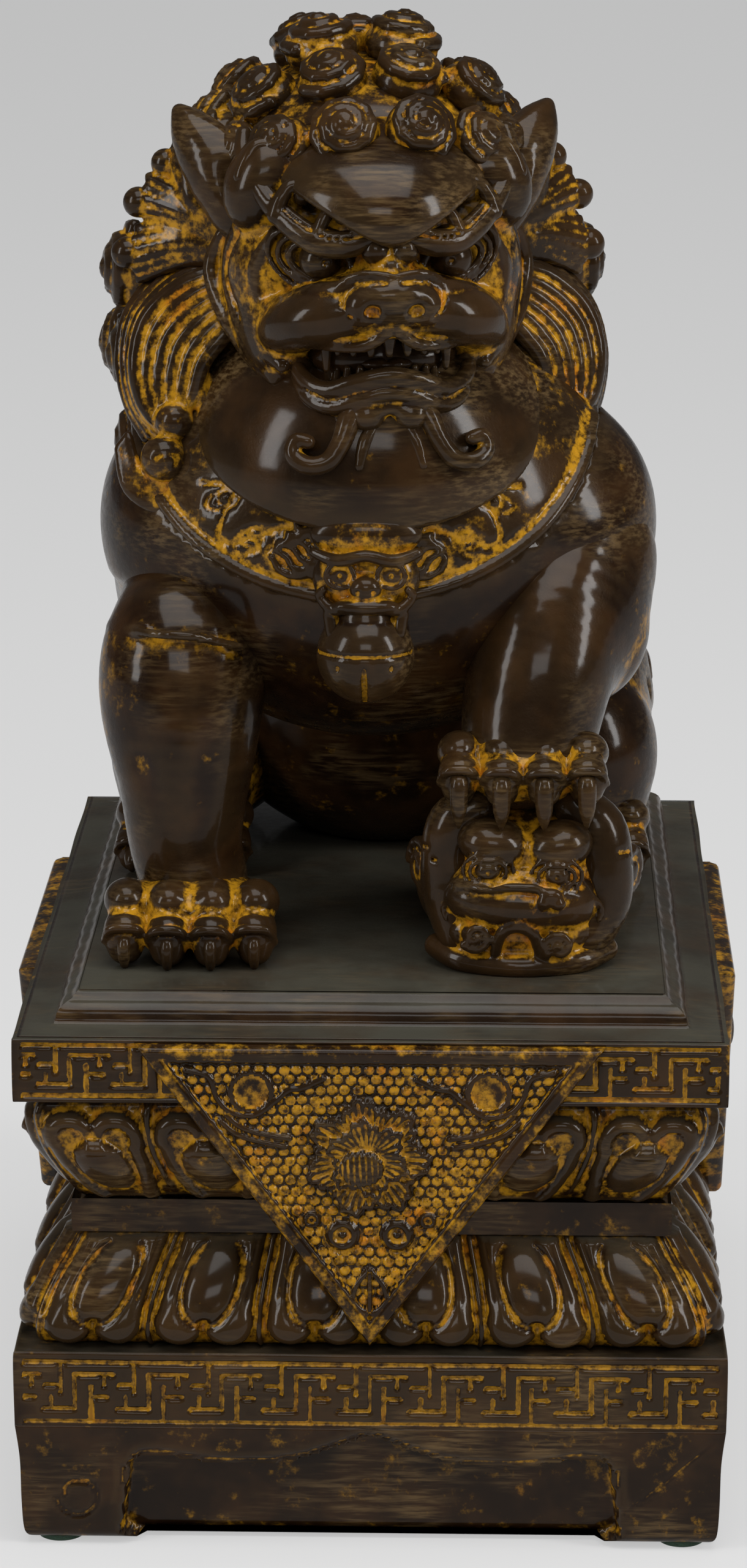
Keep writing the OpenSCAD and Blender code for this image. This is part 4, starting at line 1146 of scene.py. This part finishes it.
# ---------- the plinth ----------

SLAB_LOW, SLAB_HIGH = box_mm("fret_slab")
HALF_W, HALF_D = SLAB_HIGH[0], SLAB_HIGH[1]
BAND_LOW, BAND_HIGH = box_mm("lower_fret_band")
FLOOR = box_mm("bracket_feet")[0][2]
LOWER = box_mm("lower_lotus_course")
UPPER = box_mm("upper_lotus_course")


def even_line(points, step):
    """Points at even steps along a smooth line in two dimensions."""
    line = smooth_line(points, 8)
    run = np.concatenate([[0], np.cumsum(np.linalg.norm(np.diff(line, axis=0), axis=1))])
    places = np.linspace(0, run[-1], max(int(run[-1] / step), 2) + 1)
    return np.column_stack([np.interp(places, run, line[:, i]) for i in range(line.shape[1])])


def relief_hollow(raised, step, reach, depth):
    """How far each place of a relief lies below what is round it."""
    size = max(int(reach / step), 1)
    level = box_mean(box_mean(raised, size, 0), size, 1)
    return np.clip((level - raised) / depth, -1, 1)


def grid_faces(rows, columns):
    """Four-sided faces of a grid of points, row by row."""
    first = (np.arange(rows - 1)[:, None] * columns + np.arange(columns - 1)).ravel()
    return np.column_stack([first, first + 1, first + columns + 1, first + columns])


def course(name, profile, relief, made, step, inward=(), depth=1.2, open_below=False):
    """A band round the plinth, carved on its four sides, with mitred corners.

    The profile is a line of (inset, height), from the bottom up; inward gives the lines
    that turn in below and above it.
    """
    line = even_line(profile, step)
    below = even_line([inward[0], profile[0]], 3)[:-1] if len(inward) > 0 else np.zeros((0, 2))
    above = even_line([profile[-1], inward[1]], 3)[1:] if len(inward) > 1 else np.zeros((0, 2))
    whole = np.vstack([below, line, above])
    carved = np.concatenate([np.zeros(len(below)), np.ones(len(line)), np.zeros(len(above))])
    ends = np.arange(len(line))[::-1] if open_below else np.minimum(
        np.arange(len(line)), np.arange(len(line))[::-1])
    carved[len(below):len(below) + len(line)] = np.clip(ends / 2, 0, 1)
    points, faces, hollows, base = [], [], [], 0
    for side, (normal, along, out_half, half) in enumerate((
            ((0, -1), (1, 0), HALF_D, HALF_W), ((1, 0), (0, 1), HALF_W, HALF_D),
            ((0, 1), (-1, 0), HALF_D, HALF_W), ((-1, 0), (0, -1), HALF_W, HALF_D))):
        count = int(2 * half / step)
        share = np.linspace(-1, 1, count)[None, :]
        reach = half - whole[:, :1]
        u = share * reach
        z = np.broadcast_to(whole[:, 1:], u.shape)
        raised = relief(side, u, z, np.broadcast_to(reach, u.shape)) * carved[:, None]
        raised = raised * np.clip((1 - np.abs(share)) * half / 1.2, 0, 1)
        out = out_half - whole[:, :1] + raised
        x = normal[0] * out + along[0] * u
        y = normal[1] * out + along[1] * u
        points.append(np.column_stack([x.ravel(), y.ravel(), z.ravel()]))
        shallow = np.maximum(raised, -1.4)
        hollows.append(np.clip(0.8 * relief_hollow(shallow, step, 1.6, depth)
                               + 0.8 * relief_hollow(shallow, step, 4.5, 2 * depth), -1, 1).ravel())
        faces.append(grid_faces(*u.shape) + base)
        base += u.size
    piece = new_mesh(name, np.vstack(points), np.vstack(faces), np.concatenate(hollows))
    return settle(piece, "carved_relief", made, name)


def segment_gap(u, v, a, b):
    """Distance from places to the segment between two points."""
    du, dv = b[0] - a[0], b[1] - a[1]
    share = np.clip(((u - a[0]) * du + (v - a[1]) * dv) / max(du * du + dv * dv, 1e-9), 0, 1)
    return np.hypot(u - a[0] - share * du, v - a[1] - share * dv)


FRET = (((-.45, .22), (0, .22)), ((0, .22), (0, .80)), ((0, .80), (.50, .80)), ((.38, .80), (.38, .62)),
        ((-.33, .22), (-.33, .42)), ((.20, 0), (.20, .60)), ((.20, .42), (.42, .42)),
        ((-.20, 1), (-.20, .50)), ((-.20, .62), (-.42, .62)))


def fret(low, high, pitch=18.6):
    """A key fret engraved between two lines, on courses that run between two heights."""
    def relief(side, u, z, half):
        groove = bpy.context.scene.lion_sizes.groove / MM
        tall = high - low
        v = z - low
        gap = np.minimum(np.abs(v), np.abs(tall - v))
        wave = 0.25 * np.sin(u * 0.31) + 0.15 * np.sin(u * 0.83 + side)
        for shift in (-1, 0, 1):
            part = u - (np.round(u / pitch) + shift) * pitch + wave
            for a, b in FRET:
                gap = np.minimum(gap, segment_gap(part, v, (a[0] * pitch, a[1] * tall),
                                                  (b[0] * pitch, b[1] * tall)))
        gap = np.where(np.abs(u) > half - 2.2, 9, gap)
        return -groove * np.clip(1.25 - gap / 0.75, 0, 1) + 0.12 * np.sin(u * 0.12 + z * 0.4)
    return relief


def petal_cells(u, half, pitch):
    """Splits a side into petals, and gives the distance from each petal's middle."""
    count = np.round(2 * half.mean() / pitch)
    wide = 2 * half / count
    place = (u / half + 1) / 2 * count
    cell = np.clip(np.floor(place), 0, count - 1)
    return (place - cell - 0.5) * wide, wide / 2, cell


def round_in(gap, reach):
    """Rises from 0 at a shape's edge to 1 inside it, rounded like a cushion."""
    t = np.clip(-gap / reach, 0, 1)
    return np.sqrt(1 - (1 - t) ** 2)


def lower_petals(side, u, z, half):
    """Hanging petals, each with a long boss and a lip of two bulbs."""
    stand = bpy.context.scene.lion_sizes.petal / MM
    p, edge, cell = petal_cells(u, half, 28.5)
    q = np.abs(p)
    body = np.maximum(q - (edge - 1.9), 60.5 - z)
    bulb = np.hypot(q - 6.2, (z - 60.2)) - (6.3 + 0.3 * np.sin(cell * 2.1 + side))
    gap = np.minimum(body, bulb)
    raised = stand * round_in(gap, 3.4)
    raised += 1.5 * np.clip(1 - np.hypot(q - 6.4, (z - 59.5) * 0.9) / 7, 0, 1) ** 0.8
    boss = np.hypot(p / 6.4, (z - 69.8) / 8.9)
    raised += 2.5 * np.sqrt(np.clip(1 - boss * boss, 0, 1))
    raised -= 1.2 * np.exp(-((boss - 1.17) / 0.11) ** 2)
    raised -= 0.7 * np.exp(-((q - (edge - 4.2)) / 0.5) ** 2) * np.clip((z - 62) / 4, 0, 1)
    leaf = edge - q
    raised += 2.2 * np.clip(1 - leaf / 1.1, 0, 1)
    return raised


def upper_petals(side, u, z, half):
    """Rising petals with a heart-shaped rim and a round boss."""
    stand = bpy.context.scene.lion_sizes.petal / MM
    p, edge, _ = petal_cells(u, half, 28.5)
    q = np.abs(p)
    wide = 8.0 + 4.6 * np.clip((z - 90) / 15, 0, 1) ** 0.7
    body = np.maximum(q - np.minimum(wide, edge - 1.7), z - 109)
    heart = np.hypot(q - 5.7, (z - 108.6)) - 7.2
    gap = np.minimum(body, heart)
    raised = stand * 0.9 * round_in(gap, 3.0)
    inner = gap + 3.4
    raised -= 1.5 * round_in(inner, 2.2)
    boss = np.hypot(p / 7.2, (z - 101.0) / 8.0)
    raised += 4.0 * np.sqrt(np.clip(1 - boss * boss, 0, 1))
    leaf = edge - q
    raised += 2.4 * np.clip(1 - leaf / 1.2, 0, 1) * np.clip((z - 91) / 6, 0, 1)
    return raised


def apron_gap(u, z, foot):
    """Distance inside the recess between the feet: below zero in it."""
    q = np.abs(u) / foot * 62
    line = np.interp(q, (0, 3, 9, 17, 26, 36, 45, 54, 58, 61, 62.5),
                     (31.2, 30.0, 27.6, 24.6, 22.9, 22.6, 23.6, 25.2, 25.0, 23.4, 20.5))
    inner = 62.5 + 2.6 * np.clip((18 - z) / 14, 0, 1) - 2.4 * np.clip((3.5 - z) / 2.5, 0, 1)
    return np.maximum((z - line) * 0.85, (q - inner) * foot / 62)


def bracket(side, u, z, half):
    """The apron's recess, its line, and a spiral on a foot."""
    gap = apron_gap(u, z, half - 27.5)
    raised = -7.6 * np.clip(-gap / 0.9, 0, 1) ** 0.7
    raised -= 0.9 * np.exp(-((gap - 1.1) / 0.55) ** 2) * (z > 17)
    raised += 0.35 * np.exp(-((gap - 2.6) / 0.8) ** 2) * (z > 12)
    for k in range(-1, 2, 2):
        if side == 0 and k > 0:
            continue
        du, dz = u - k * (half - 14.5), z - 14.0
        far = np.hypot(du, dz)
        turn = np.arctan2(dz, du * -k) / (2 * math.pi)
        ring = far - 5.9 + 2.3 * ((turn + 0.5) % 1.0)
        raised -= 0.9 * np.clip(1.2 - np.abs(ring) / 0.7, 0, 1) * (far < 7) * (far > 1.2)
    if side == 0:
        for k in range(5):
            a = (62 + 4 * k, 9 + 3.1 * k)
            raised -= 0.35 * np.clip(1 - segment_gap(u, z, a, (a[0] + 9, a[1] + 5 + k)) / 0.5, 0, 1)
    return raised


def make_courses():
    """The plinth's courses, from the feet to the fret slab."""
    out = HALF_W - BAND_HIGH[0]
    slab = SLAB_LOW[2], SLAB_HIGH[2]
    course("bracket_feet", [(3.4, FLOOR), (1.5, FLOOR + 1.2), (0.6, FLOOR + 4), (0.2, FLOOR + 12), (0, 24),
                            (out, BAND_LOW[2])],
           bracket, finish("apron"), 0.92,
           ((14, FLOOR), (12, BAND_LOW[2])), 1.6, True)
    course("lower_fret_band", [(out, BAND_LOW[2] + 0.05), (out - 0.1, BAND_HIGH[2] - 1.2),
                               (out + 0.8, BAND_HIGH[2] - 0.1)],
           fret(BAND_LOW[2] + 1.0, BAND_HIGH[2] - 2.4), finish("apron"), 0.62,
           ((12, BAND_LOW[2]), (16, BAND_HIGH[2])), 0.6)
    course("lower_lotus_course", [(7.5, LOWER[0][2]), (5.2, 54.5), (4.6, 58.5), (6.0, 64), (9.2, 70.5),
                                  (12.8, 76), (15.6, LOWER[1][2] - 0.2)],
           lower_petals, finish("relief"), 0.84,
           ((16, LOWER[0][2]), (26, LOWER[1][2])), 1.6)
    low, high = box_mm("waist_course")
    course("waist_course", [(13.2, low[2] - 0.4), (13, (low[2] + high[2]) / 2), (13.2, high[2] + 0.4)],
           lambda side, u, z, half: 0.15 * np.sin(u * 0.21 + side), finish("apron"), 1.2)
    course("upper_lotus_course", [(16.5, UPPER[0][2] + 0.1), (14.2, 91.5), (10.4, 98), (7.0, 105), (5.4, 111),
                                  (5.2, 115), (6.8, UPPER[1][2])],
           upper_petals, finish("relief"), 0.84,
           ((26, UPPER[0][2]), (16, UPPER[1][2])), 1.6)
    course("fret_slab", [(2.0, slab[0] + 0.1), (0.5, slab[0] + 0.5), (0, slab[0] + 1.6), (0, slab[1] - 1.4),
                         (0.4, slab[1] - 0.3), (1.6, slab[1])],
           fret(slab[0] + 2.2, slab[1] - 1.8), finish("fret"), 0.62,
           ((14, slab[0]), (16, slab[1] + 0.15)), 0.6)


def make_platform():
    """The moulded block that the lion sits on, with a bevelled flat top."""
    low, high = box_mm("platform")
    inset = HALF_W - high[0]
    top = high[2]
    course("platform", [(1.2, low[2] + 0.05), (inset - 3.2, low[2] + 0.5), (inset - 0.8, low[2] + 1.0),
                        (inset - 0.3, low[2] + 2.0), (inset + 0.1, low[2] + 3.8), (inset + 1.8, low[2] + 5.4),
                        (inset + 3.6, top - 1.7), (inset + 4.2, top - 0.7), (inset + 5.2, top - 0.02)],
           lambda side, u, z, half: 0.10 * np.sin(u * 0.17 + side) + 0.05 * np.sin(u * 0.6),
           finish("ledge"), 1.2, ((14, low[2]), (30, top)))
    bpy.ops.object.select_all(action="DESELECT")
    bpy.ops.mesh.primitive_cube_add(size=1, location=(0, 0, (top - 1) * MM))
    piece = bpy.context.object
    piece.name = "platform_top"
    bpy.ops.object.mode_set(mode="EDIT")
    bpy.ops.transform.resize(value=((HALF_W - inset - 5) * 2 * MM, (HALF_D - inset - 5) * 2 * MM, 2 * MM))
    bpy.ops.mesh.subdivide(number_cuts=3)
    bpy.ops.mesh.bevel(offset=0.0006, segments=3)
    bpy.ops.object.mode_set(mode="OBJECT")
    bpy.ops.object.shade_smooth_by_angle(angle=math.radians(30))
    bpy.ops.object.transform_apply(location=True, rotation=True, scale=True)
    settle(piece, "carved_relief", finish("ledge"))


def pebbles(x, z, pitch=3.05, radius=1.36):
    """Small domes, packed by hand, that fill the cloth's ground."""
    row = np.floor(z / (pitch * 0.87))
    best = np.full(x.shape, 9.0)
    size = np.full(x.shape, radius)
    for dr in (-1, 0, 1):
        r = row + dr
        shift = (r % 2) * 0.5
        column = np.floor(x / pitch - shift)
        for dc in (-1, 0, 1):
            c = column + dc
            seed = np.sin(r * 127.1 + c * 311.7) * 43758.5
            wobble = seed - np.floor(seed)
            seed = np.sin(r * 269.5 + c * 183.3) * 43758.5
            sway = seed - np.floor(seed)
            cx = (c + shift + 0.5 + 0.20 * (wobble - 0.5)) * pitch
            cz = (r + 0.5 + 0.20 * (sway - 0.5)) * pitch * 0.87
            far = np.hypot(x - cx, z - cz) / (0.90 + 0.2 * wobble)
            best = np.minimum(best, far)
    return 0.95 * np.sqrt(np.clip(1 - (best / size) ** 2, 0, 1))


def line_relief(x, z, points, wide, tall):
    """A raised line, rounded, through some points."""
    gap = np.full(x.shape, 99.0)
    line = smooth_line(points, 6)
    for a, b in zip(line[:-1], line[1:]):
        gap = np.minimum(gap, segment_gap(x, z, a, b))
    return tall * np.sqrt(np.clip(1 - (gap / wide) ** 2, 0, 1)), gap


def peony(x, z):
    """A ruffled flower: two rings of petals round a striped bud."""
    far, turn = np.hypot(x, z), np.arctan2(z, x)
    raised = np.full(x.shape, -9.0)
    outer = 14.3 + 1.5 * np.cos(7 * turn + 0.6) + 0.6 * np.cos(25 * turn)
    middle = 9.6 + 1.1 * np.cos(6 * turn + 2.0) + 0.5 * np.cos(19 * turn)
    for rim, level, inset, soft, ribs, tall, fall in ((outer, 1.7, 1.0, 0.7, 46, 0.26, 0.10),
                                                      (middle, 2.5, 0.8, 0.6, 30, 0.22, 0.12)):
        height = (level + 0.5 * np.exp(-((far - rim + inset) / soft) ** 2) + tall * np.sin(ribs * turn)
                  - fall * (rim - far))
        raised = np.where(far < rim, height, raised)
    bud = np.hypot((x + 1.5) / 5.6, (z + 2.4) / 4.8)
    height = 2.6 + 1.5 * np.sqrt(np.clip(1 - bud * bud, 0, 1)) + 0.22 * np.sin(x * 4.2 + 0.2 * z)
    return np.where(bud < 1, height, raised)


def cloth_relief(x, z, half, tall):
    """The hung cloth's pattern; x from its middle and z up from its tip."""
    tip = half / math.hypot(half, tall)
    slope = tall / math.hypot(half, tall)
    to_side = z * tip - np.abs(x) * slope
    inside = np.minimum(to_side, tall - z)
    pebbled = pebbles(x, z)
    raised = pebbled
    s = tall / 81.0

    def over(height):
        nonlocal raised
        raised = np.where(height > 0.05, np.maximum(height + 0.15, raised * (height < 0.5)), raised)

    for side in (-1, 1):
        boss = (side * 29.5, tall - 12.2 * s)
        far = np.hypot(x - boss[0], z - boss[1])
        for a, b in ((0.0, 3.4), (4.4, 5.8)):
            dome = 0.5 * (b - a > 2) * np.sqrt(np.clip(1 - (far / 3.4) ** 2, 0, 1))
            raised = np.where(far < 5.9, np.where((far > a) & (far < b), 1.2 + dome, 0.1), raised)
        for line in ([(-16.1, -6.5), (-10.5, -8), (-8.5, -13.5), (-5.0, -17.5), (1.0, -18.2), (6.0, -14.5),
                      (9.5, -11.5), (13, -10.8), (18, -8.4)],
                     [(-6.0, -18.5), (-2.5, -21.5), (3, -23.4), (9.5, -24.4)],
                     [(-7.5, -20.0), (-3.5, -23.4), (2.5, -25.4), (8.5, -26.6)]):
            points = [(side * 29.5 + side * -a, tall + b * s) for a, b in line]
            over(line_relief(x, z, points, 0.95, 1.5)[0])
        for cx, cz, r in ((side * 6.8, 30.5 * s, 4.4), (side * 14.5, 34.5 * s, 2.3)):
            far = np.hypot(x - cx, z - cz)
            rings = 1.1 + 0.5 * np.cos(far / r * 2 * math.pi * 1.5)
            raised = np.where(far < r, rings, np.where(far < r + 0.8, 0, raised))
    for line in ([(0, 21), (-3.2, 17), (-4.0, 12.5), (-0.5, 9)], [(0, 21), (3.2, 17), (4.0, 12.5), (0.5, 9)],
                 [(0, 20), (0, 10)]):
        over(line_relief(x, z, [(a, b * s) for a, b in line], 0.8, 1.3)[0])
    flower = peony(x + 0.5, z - 51.5 * s)
    raised = np.where(flower > 0, flower, raised)
    border = np.clip((4.6 - inside) / 0.7, 0, 1)
    rim = 1.9 - 0.35 * np.exp(-((inside - 3.6) / 0.5) ** 2)
    ground = (raised == pebbled) & (inside > 4.6)
    raised = raised * (1 - border) + rim * border
    return raised, inside, ground


def make_cloths():
    """A triangular cloth with a raised border on each side of the plinth."""
    step = 0.47 * 1
    for node, normal, along in (
            ("front_cloth", (0, -1), (1, 0)), ("right_cloth", (-1, 0), (0, -1)),
            ("back_cloth", (0, 1), (-1, 0)), ("left_cloth", (1, 0), (0, 1))):
        low, high = box_mm(node)
        across = 0 if normal[0] == 0 else 1
        half = (high[across] - low[across]) / 2
        face = (high if sum(normal) > 0 else -low)[1 - across]
        tall = high[2] - low[2]
        rows = int(tall / step)
        v = np.linspace(0.002, 1, rows)[:, None]
        columns = int(2 * half / step)
        share = np.linspace(-1, 1, columns)[None, :]
        wide = half * v
        x, z = np.broadcast_arrays(share * wide, v * tall)
        raised, inside, ground = cloth_relief(x, z, half, tall)
        edge = np.clip(inside / 1.4, 0, 1)
        out = face - 2.6 + raised + 0.6 - 2.4 * (1 - np.sqrt(1 - (1 - edge) ** 2))
        # the edges turn back to the plinth
        back = np.full((rows, 1), face - 9.0)
        x = np.hstack([x[:, :1], x, x[:, -1:]])
        z = np.hstack([z[:, :1], z, z[:, -1:]])
        out = np.hstack([back, out, back])
        hollow = np.clip(0.9 * relief_hollow(raised, step, 1.0, 0.7)
                         + 0.45 * relief_hollow(raised, step, 3.0, 1.6), -1, 1)
        hollow = np.where(ground, 0.35 - 1.1 * hollow, hollow)
        hollow = np.hstack([hollow[:, :1], hollow, hollow[:, -1:]])
        top = np.full((1, out.shape[1]), face - 9.0)
        x, z, out = np.vstack([x, x[-1:]]), np.vstack([z, z[-1:]]), np.vstack([out, top])
        hollow = np.vstack([hollow, hollow[-1:]])
        px = normal[0] * out + along[0] * x
        py = normal[1] * out + along[1] * x
        points = np.column_stack([px.ravel(), py.ravel(), (z + low[2]).ravel()])
        piece = new_mesh(node, points, grid_faces(*x.shape), hollow.ravel())
        settle(piece, "carved_relief", finish("cloth"), node)


# ---------- the stage ----------


def make_stage():
    """A pale floor, soft lights and the camera."""
    bpy.ops.object.select_all(action="DESELECT")
    bpy.ops.mesh.primitive_plane_add(size=12, location=(0, 3.5, 0))
    floor = bpy.context.object
    floor.name = "studio_floor"
    bpy.ops.object.transform_apply(location=True)
    paper = bpy.data.materials.new("studio_paper")
    paper.use_nodes = True
    shader = paper.node_tree.nodes["Principled BSDF"]
    shader.inputs["Base Color"].default_value = (0.25, 0.25, 0.25, 1)
    shader.inputs["Roughness"].default_value = 0.9
    shader.inputs["Specular IOR Level"].default_value = 0.1
    shader.inputs["Emission Color"].default_value = (1, 1, 1, 1)
    shader.inputs["Emission Strength"].default_value = 0.48
    floor.data.materials.append(paper)

    world = bpy.context.scene.world or bpy.data.worlds.new("studio")
    bpy.context.scene.world = world
    world.use_nodes = True
    sky = world.node_tree.nodes["Background"]
    sky.inputs["Color"].default_value = (1, 1, 1, 1)
    sky.inputs["Strength"].default_value = 0.10
    for name, place, aim, size, power in (
            ("top_softbox", (0.1, -0.5, 2.2), (0, 0, 0.2), (1.6, 1.6), 34),
            ("left_softbox", (-1.5, -0.9, 0.9), (0, 0, 0.2), (0.35, 1.2), 13),
            ("right_softbox", (1.5, -0.7, 1.0), (0, 0, 0.22), (0.3, 1.1), 16),
            ("front_fill", (0.1, -2.6, 1.6), (0, 0, 0.2), (1.2, 0.6), 10)):
        lamp = bpy.data.lights.new(name, "AREA")
        lamp.shape = "RECTANGLE"
        lamp.size, lamp.size_y = size
        lamp.energy = power
        holder = bpy.data.objects.new(name, lamp)
        bpy.context.scene.collection.objects.link(holder)
        holder.location = place
        holder.rotation_euler = (Vector(aim) - Vector(place)).to_track_quat("-Z", "Y").to_euler()

    lens = bpy.data.cameras.new("camera")
    camera = bpy.data.objects.new("camera", lens)
    bpy.context.scene.collection.objects.link(camera)
    camera.location = (0.0305, -1.2602, 0.5096)
    yaw, pitch = math.radians(-1.48), math.radians(15.03)
    look = Vector((math.sin(yaw) * math.cos(pitch), math.cos(yaw) * math.cos(pitch), -math.sin(pitch)))
    camera.rotation_euler = look.to_track_quat("-Z", "Y").to_euler()
    lens.sensor_fit = "VERTICAL"
    lens.sensor_height = 36
    lens.lens = 111.6
    lens.clip_end = 60
    bpy.context.scene.camera = camera
    bpy.context.scene.view_settings.view_transform = "Standard"


# ---------- the add-on ----------


def make_fittings():
    """Finishes for the felt, the board and the pins, whose CAD shapes are right."""
    for node, name in (("felt_pads", "felt"), ("closing_board", "board"), ("locating_pins", "steel")):
        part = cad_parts[node]
        for place in part.material_slots:
            place.material = finish(name)


BUILDERS = (
    ("stage", "Stage", make_stage),
    ("fittings", "Felt, board and pins", make_fittings),
    ("courses", "Plinth courses", make_courses),
    ("platform", "Platform", make_platform),
    ("cloths", "Hung cloths", make_cloths),
    ("torso", "Torso", make_torso),
    ("collar", "Collar", make_collar),
    ("bib", "Chest bib", make_bib),
    ("mask", "Collar mask", make_mask),
    ("bell", "Bell", make_bell),
    ("forelegs", "Forelegs", make_forelegs),
    ("forepaws", "Forepaws and claws", make_forepaws),
    ("hindquarters", "Haunches and hind paws", make_hindquarters),
    ("tail", "Tail", make_tail),
    ("cub", "Cub", make_cub),
    ("face", "Face", make_face),
    ("jaw", "Jaw, tongue and teeth", make_jaw),
    ("eyes", "Eyes", make_eyes),
    ("brows", "Brows and forehead", make_brows),
    ("ears", "Ears", make_ears),
    ("crown", "Crown and its curls", make_crown),
    ("mane_sides", "Mane fans, locks and beard", make_mane_sides),
    ("back_mane", "Back mane", make_back_mane),
)


def operator(key, label, builder):
    """An operator that makes one piece, or a group of like pieces."""

    def execute(self, context):
        builder()
        return {"FINISHED"}

    name = "LION_OT_" + key
    return type(name, (bpy.types.Operator,), {
        "bl_idname": "lion.make_" + key, "bl_label": label, "bl_options": {"REGISTER", "UNDO"},
        "__doc__": builder.__doc__, "execute": execute})


OPERATORS = [operator(*row) for row in BUILDERS]


class LION_PT_panel(bpy.types.Panel):
    """Lists the steps that build the lion."""

    bl_label = "Guardian Lion"
    bl_idname = "LION_PT_panel"
    bl_space_type = "VIEW_3D"
    bl_region_type = "UI"
    bl_category = "Guardian Lion"

    def draw(self, context):
        for group in (context.scene.lion_sizes, context.scene.lion_finish):
            for name in group.__annotations__:
                self.layout.prop(group, name)
        for step in OPERATORS:
            self.layout.operator(step.bl_idname)


CLASSES = (LionSizes, LionFinish, *OPERATORS, LION_PT_panel)


def register():
    for each in CLASSES:
        bpy.utils.register_class(each)
    bpy.types.Scene.lion_sizes = bpy.props.PointerProperty(type=LionSizes)
    bpy.types.Scene.lion_finish = bpy.props.PointerProperty(type=LionFinish)


def unregister():
    del bpy.types.Scene.lion_finish
    del bpy.types.Scene.lion_sizes
    for each in reversed(CLASSES):
        bpy.utils.unregister_class(each)


def main():
    """Builds the lion from its stage up."""
    register()
    for step in OPERATORS:
        getattr(bpy.ops.lion, step.bl_idname.split(".")[1])()


if __name__ == "__main__":
    main()
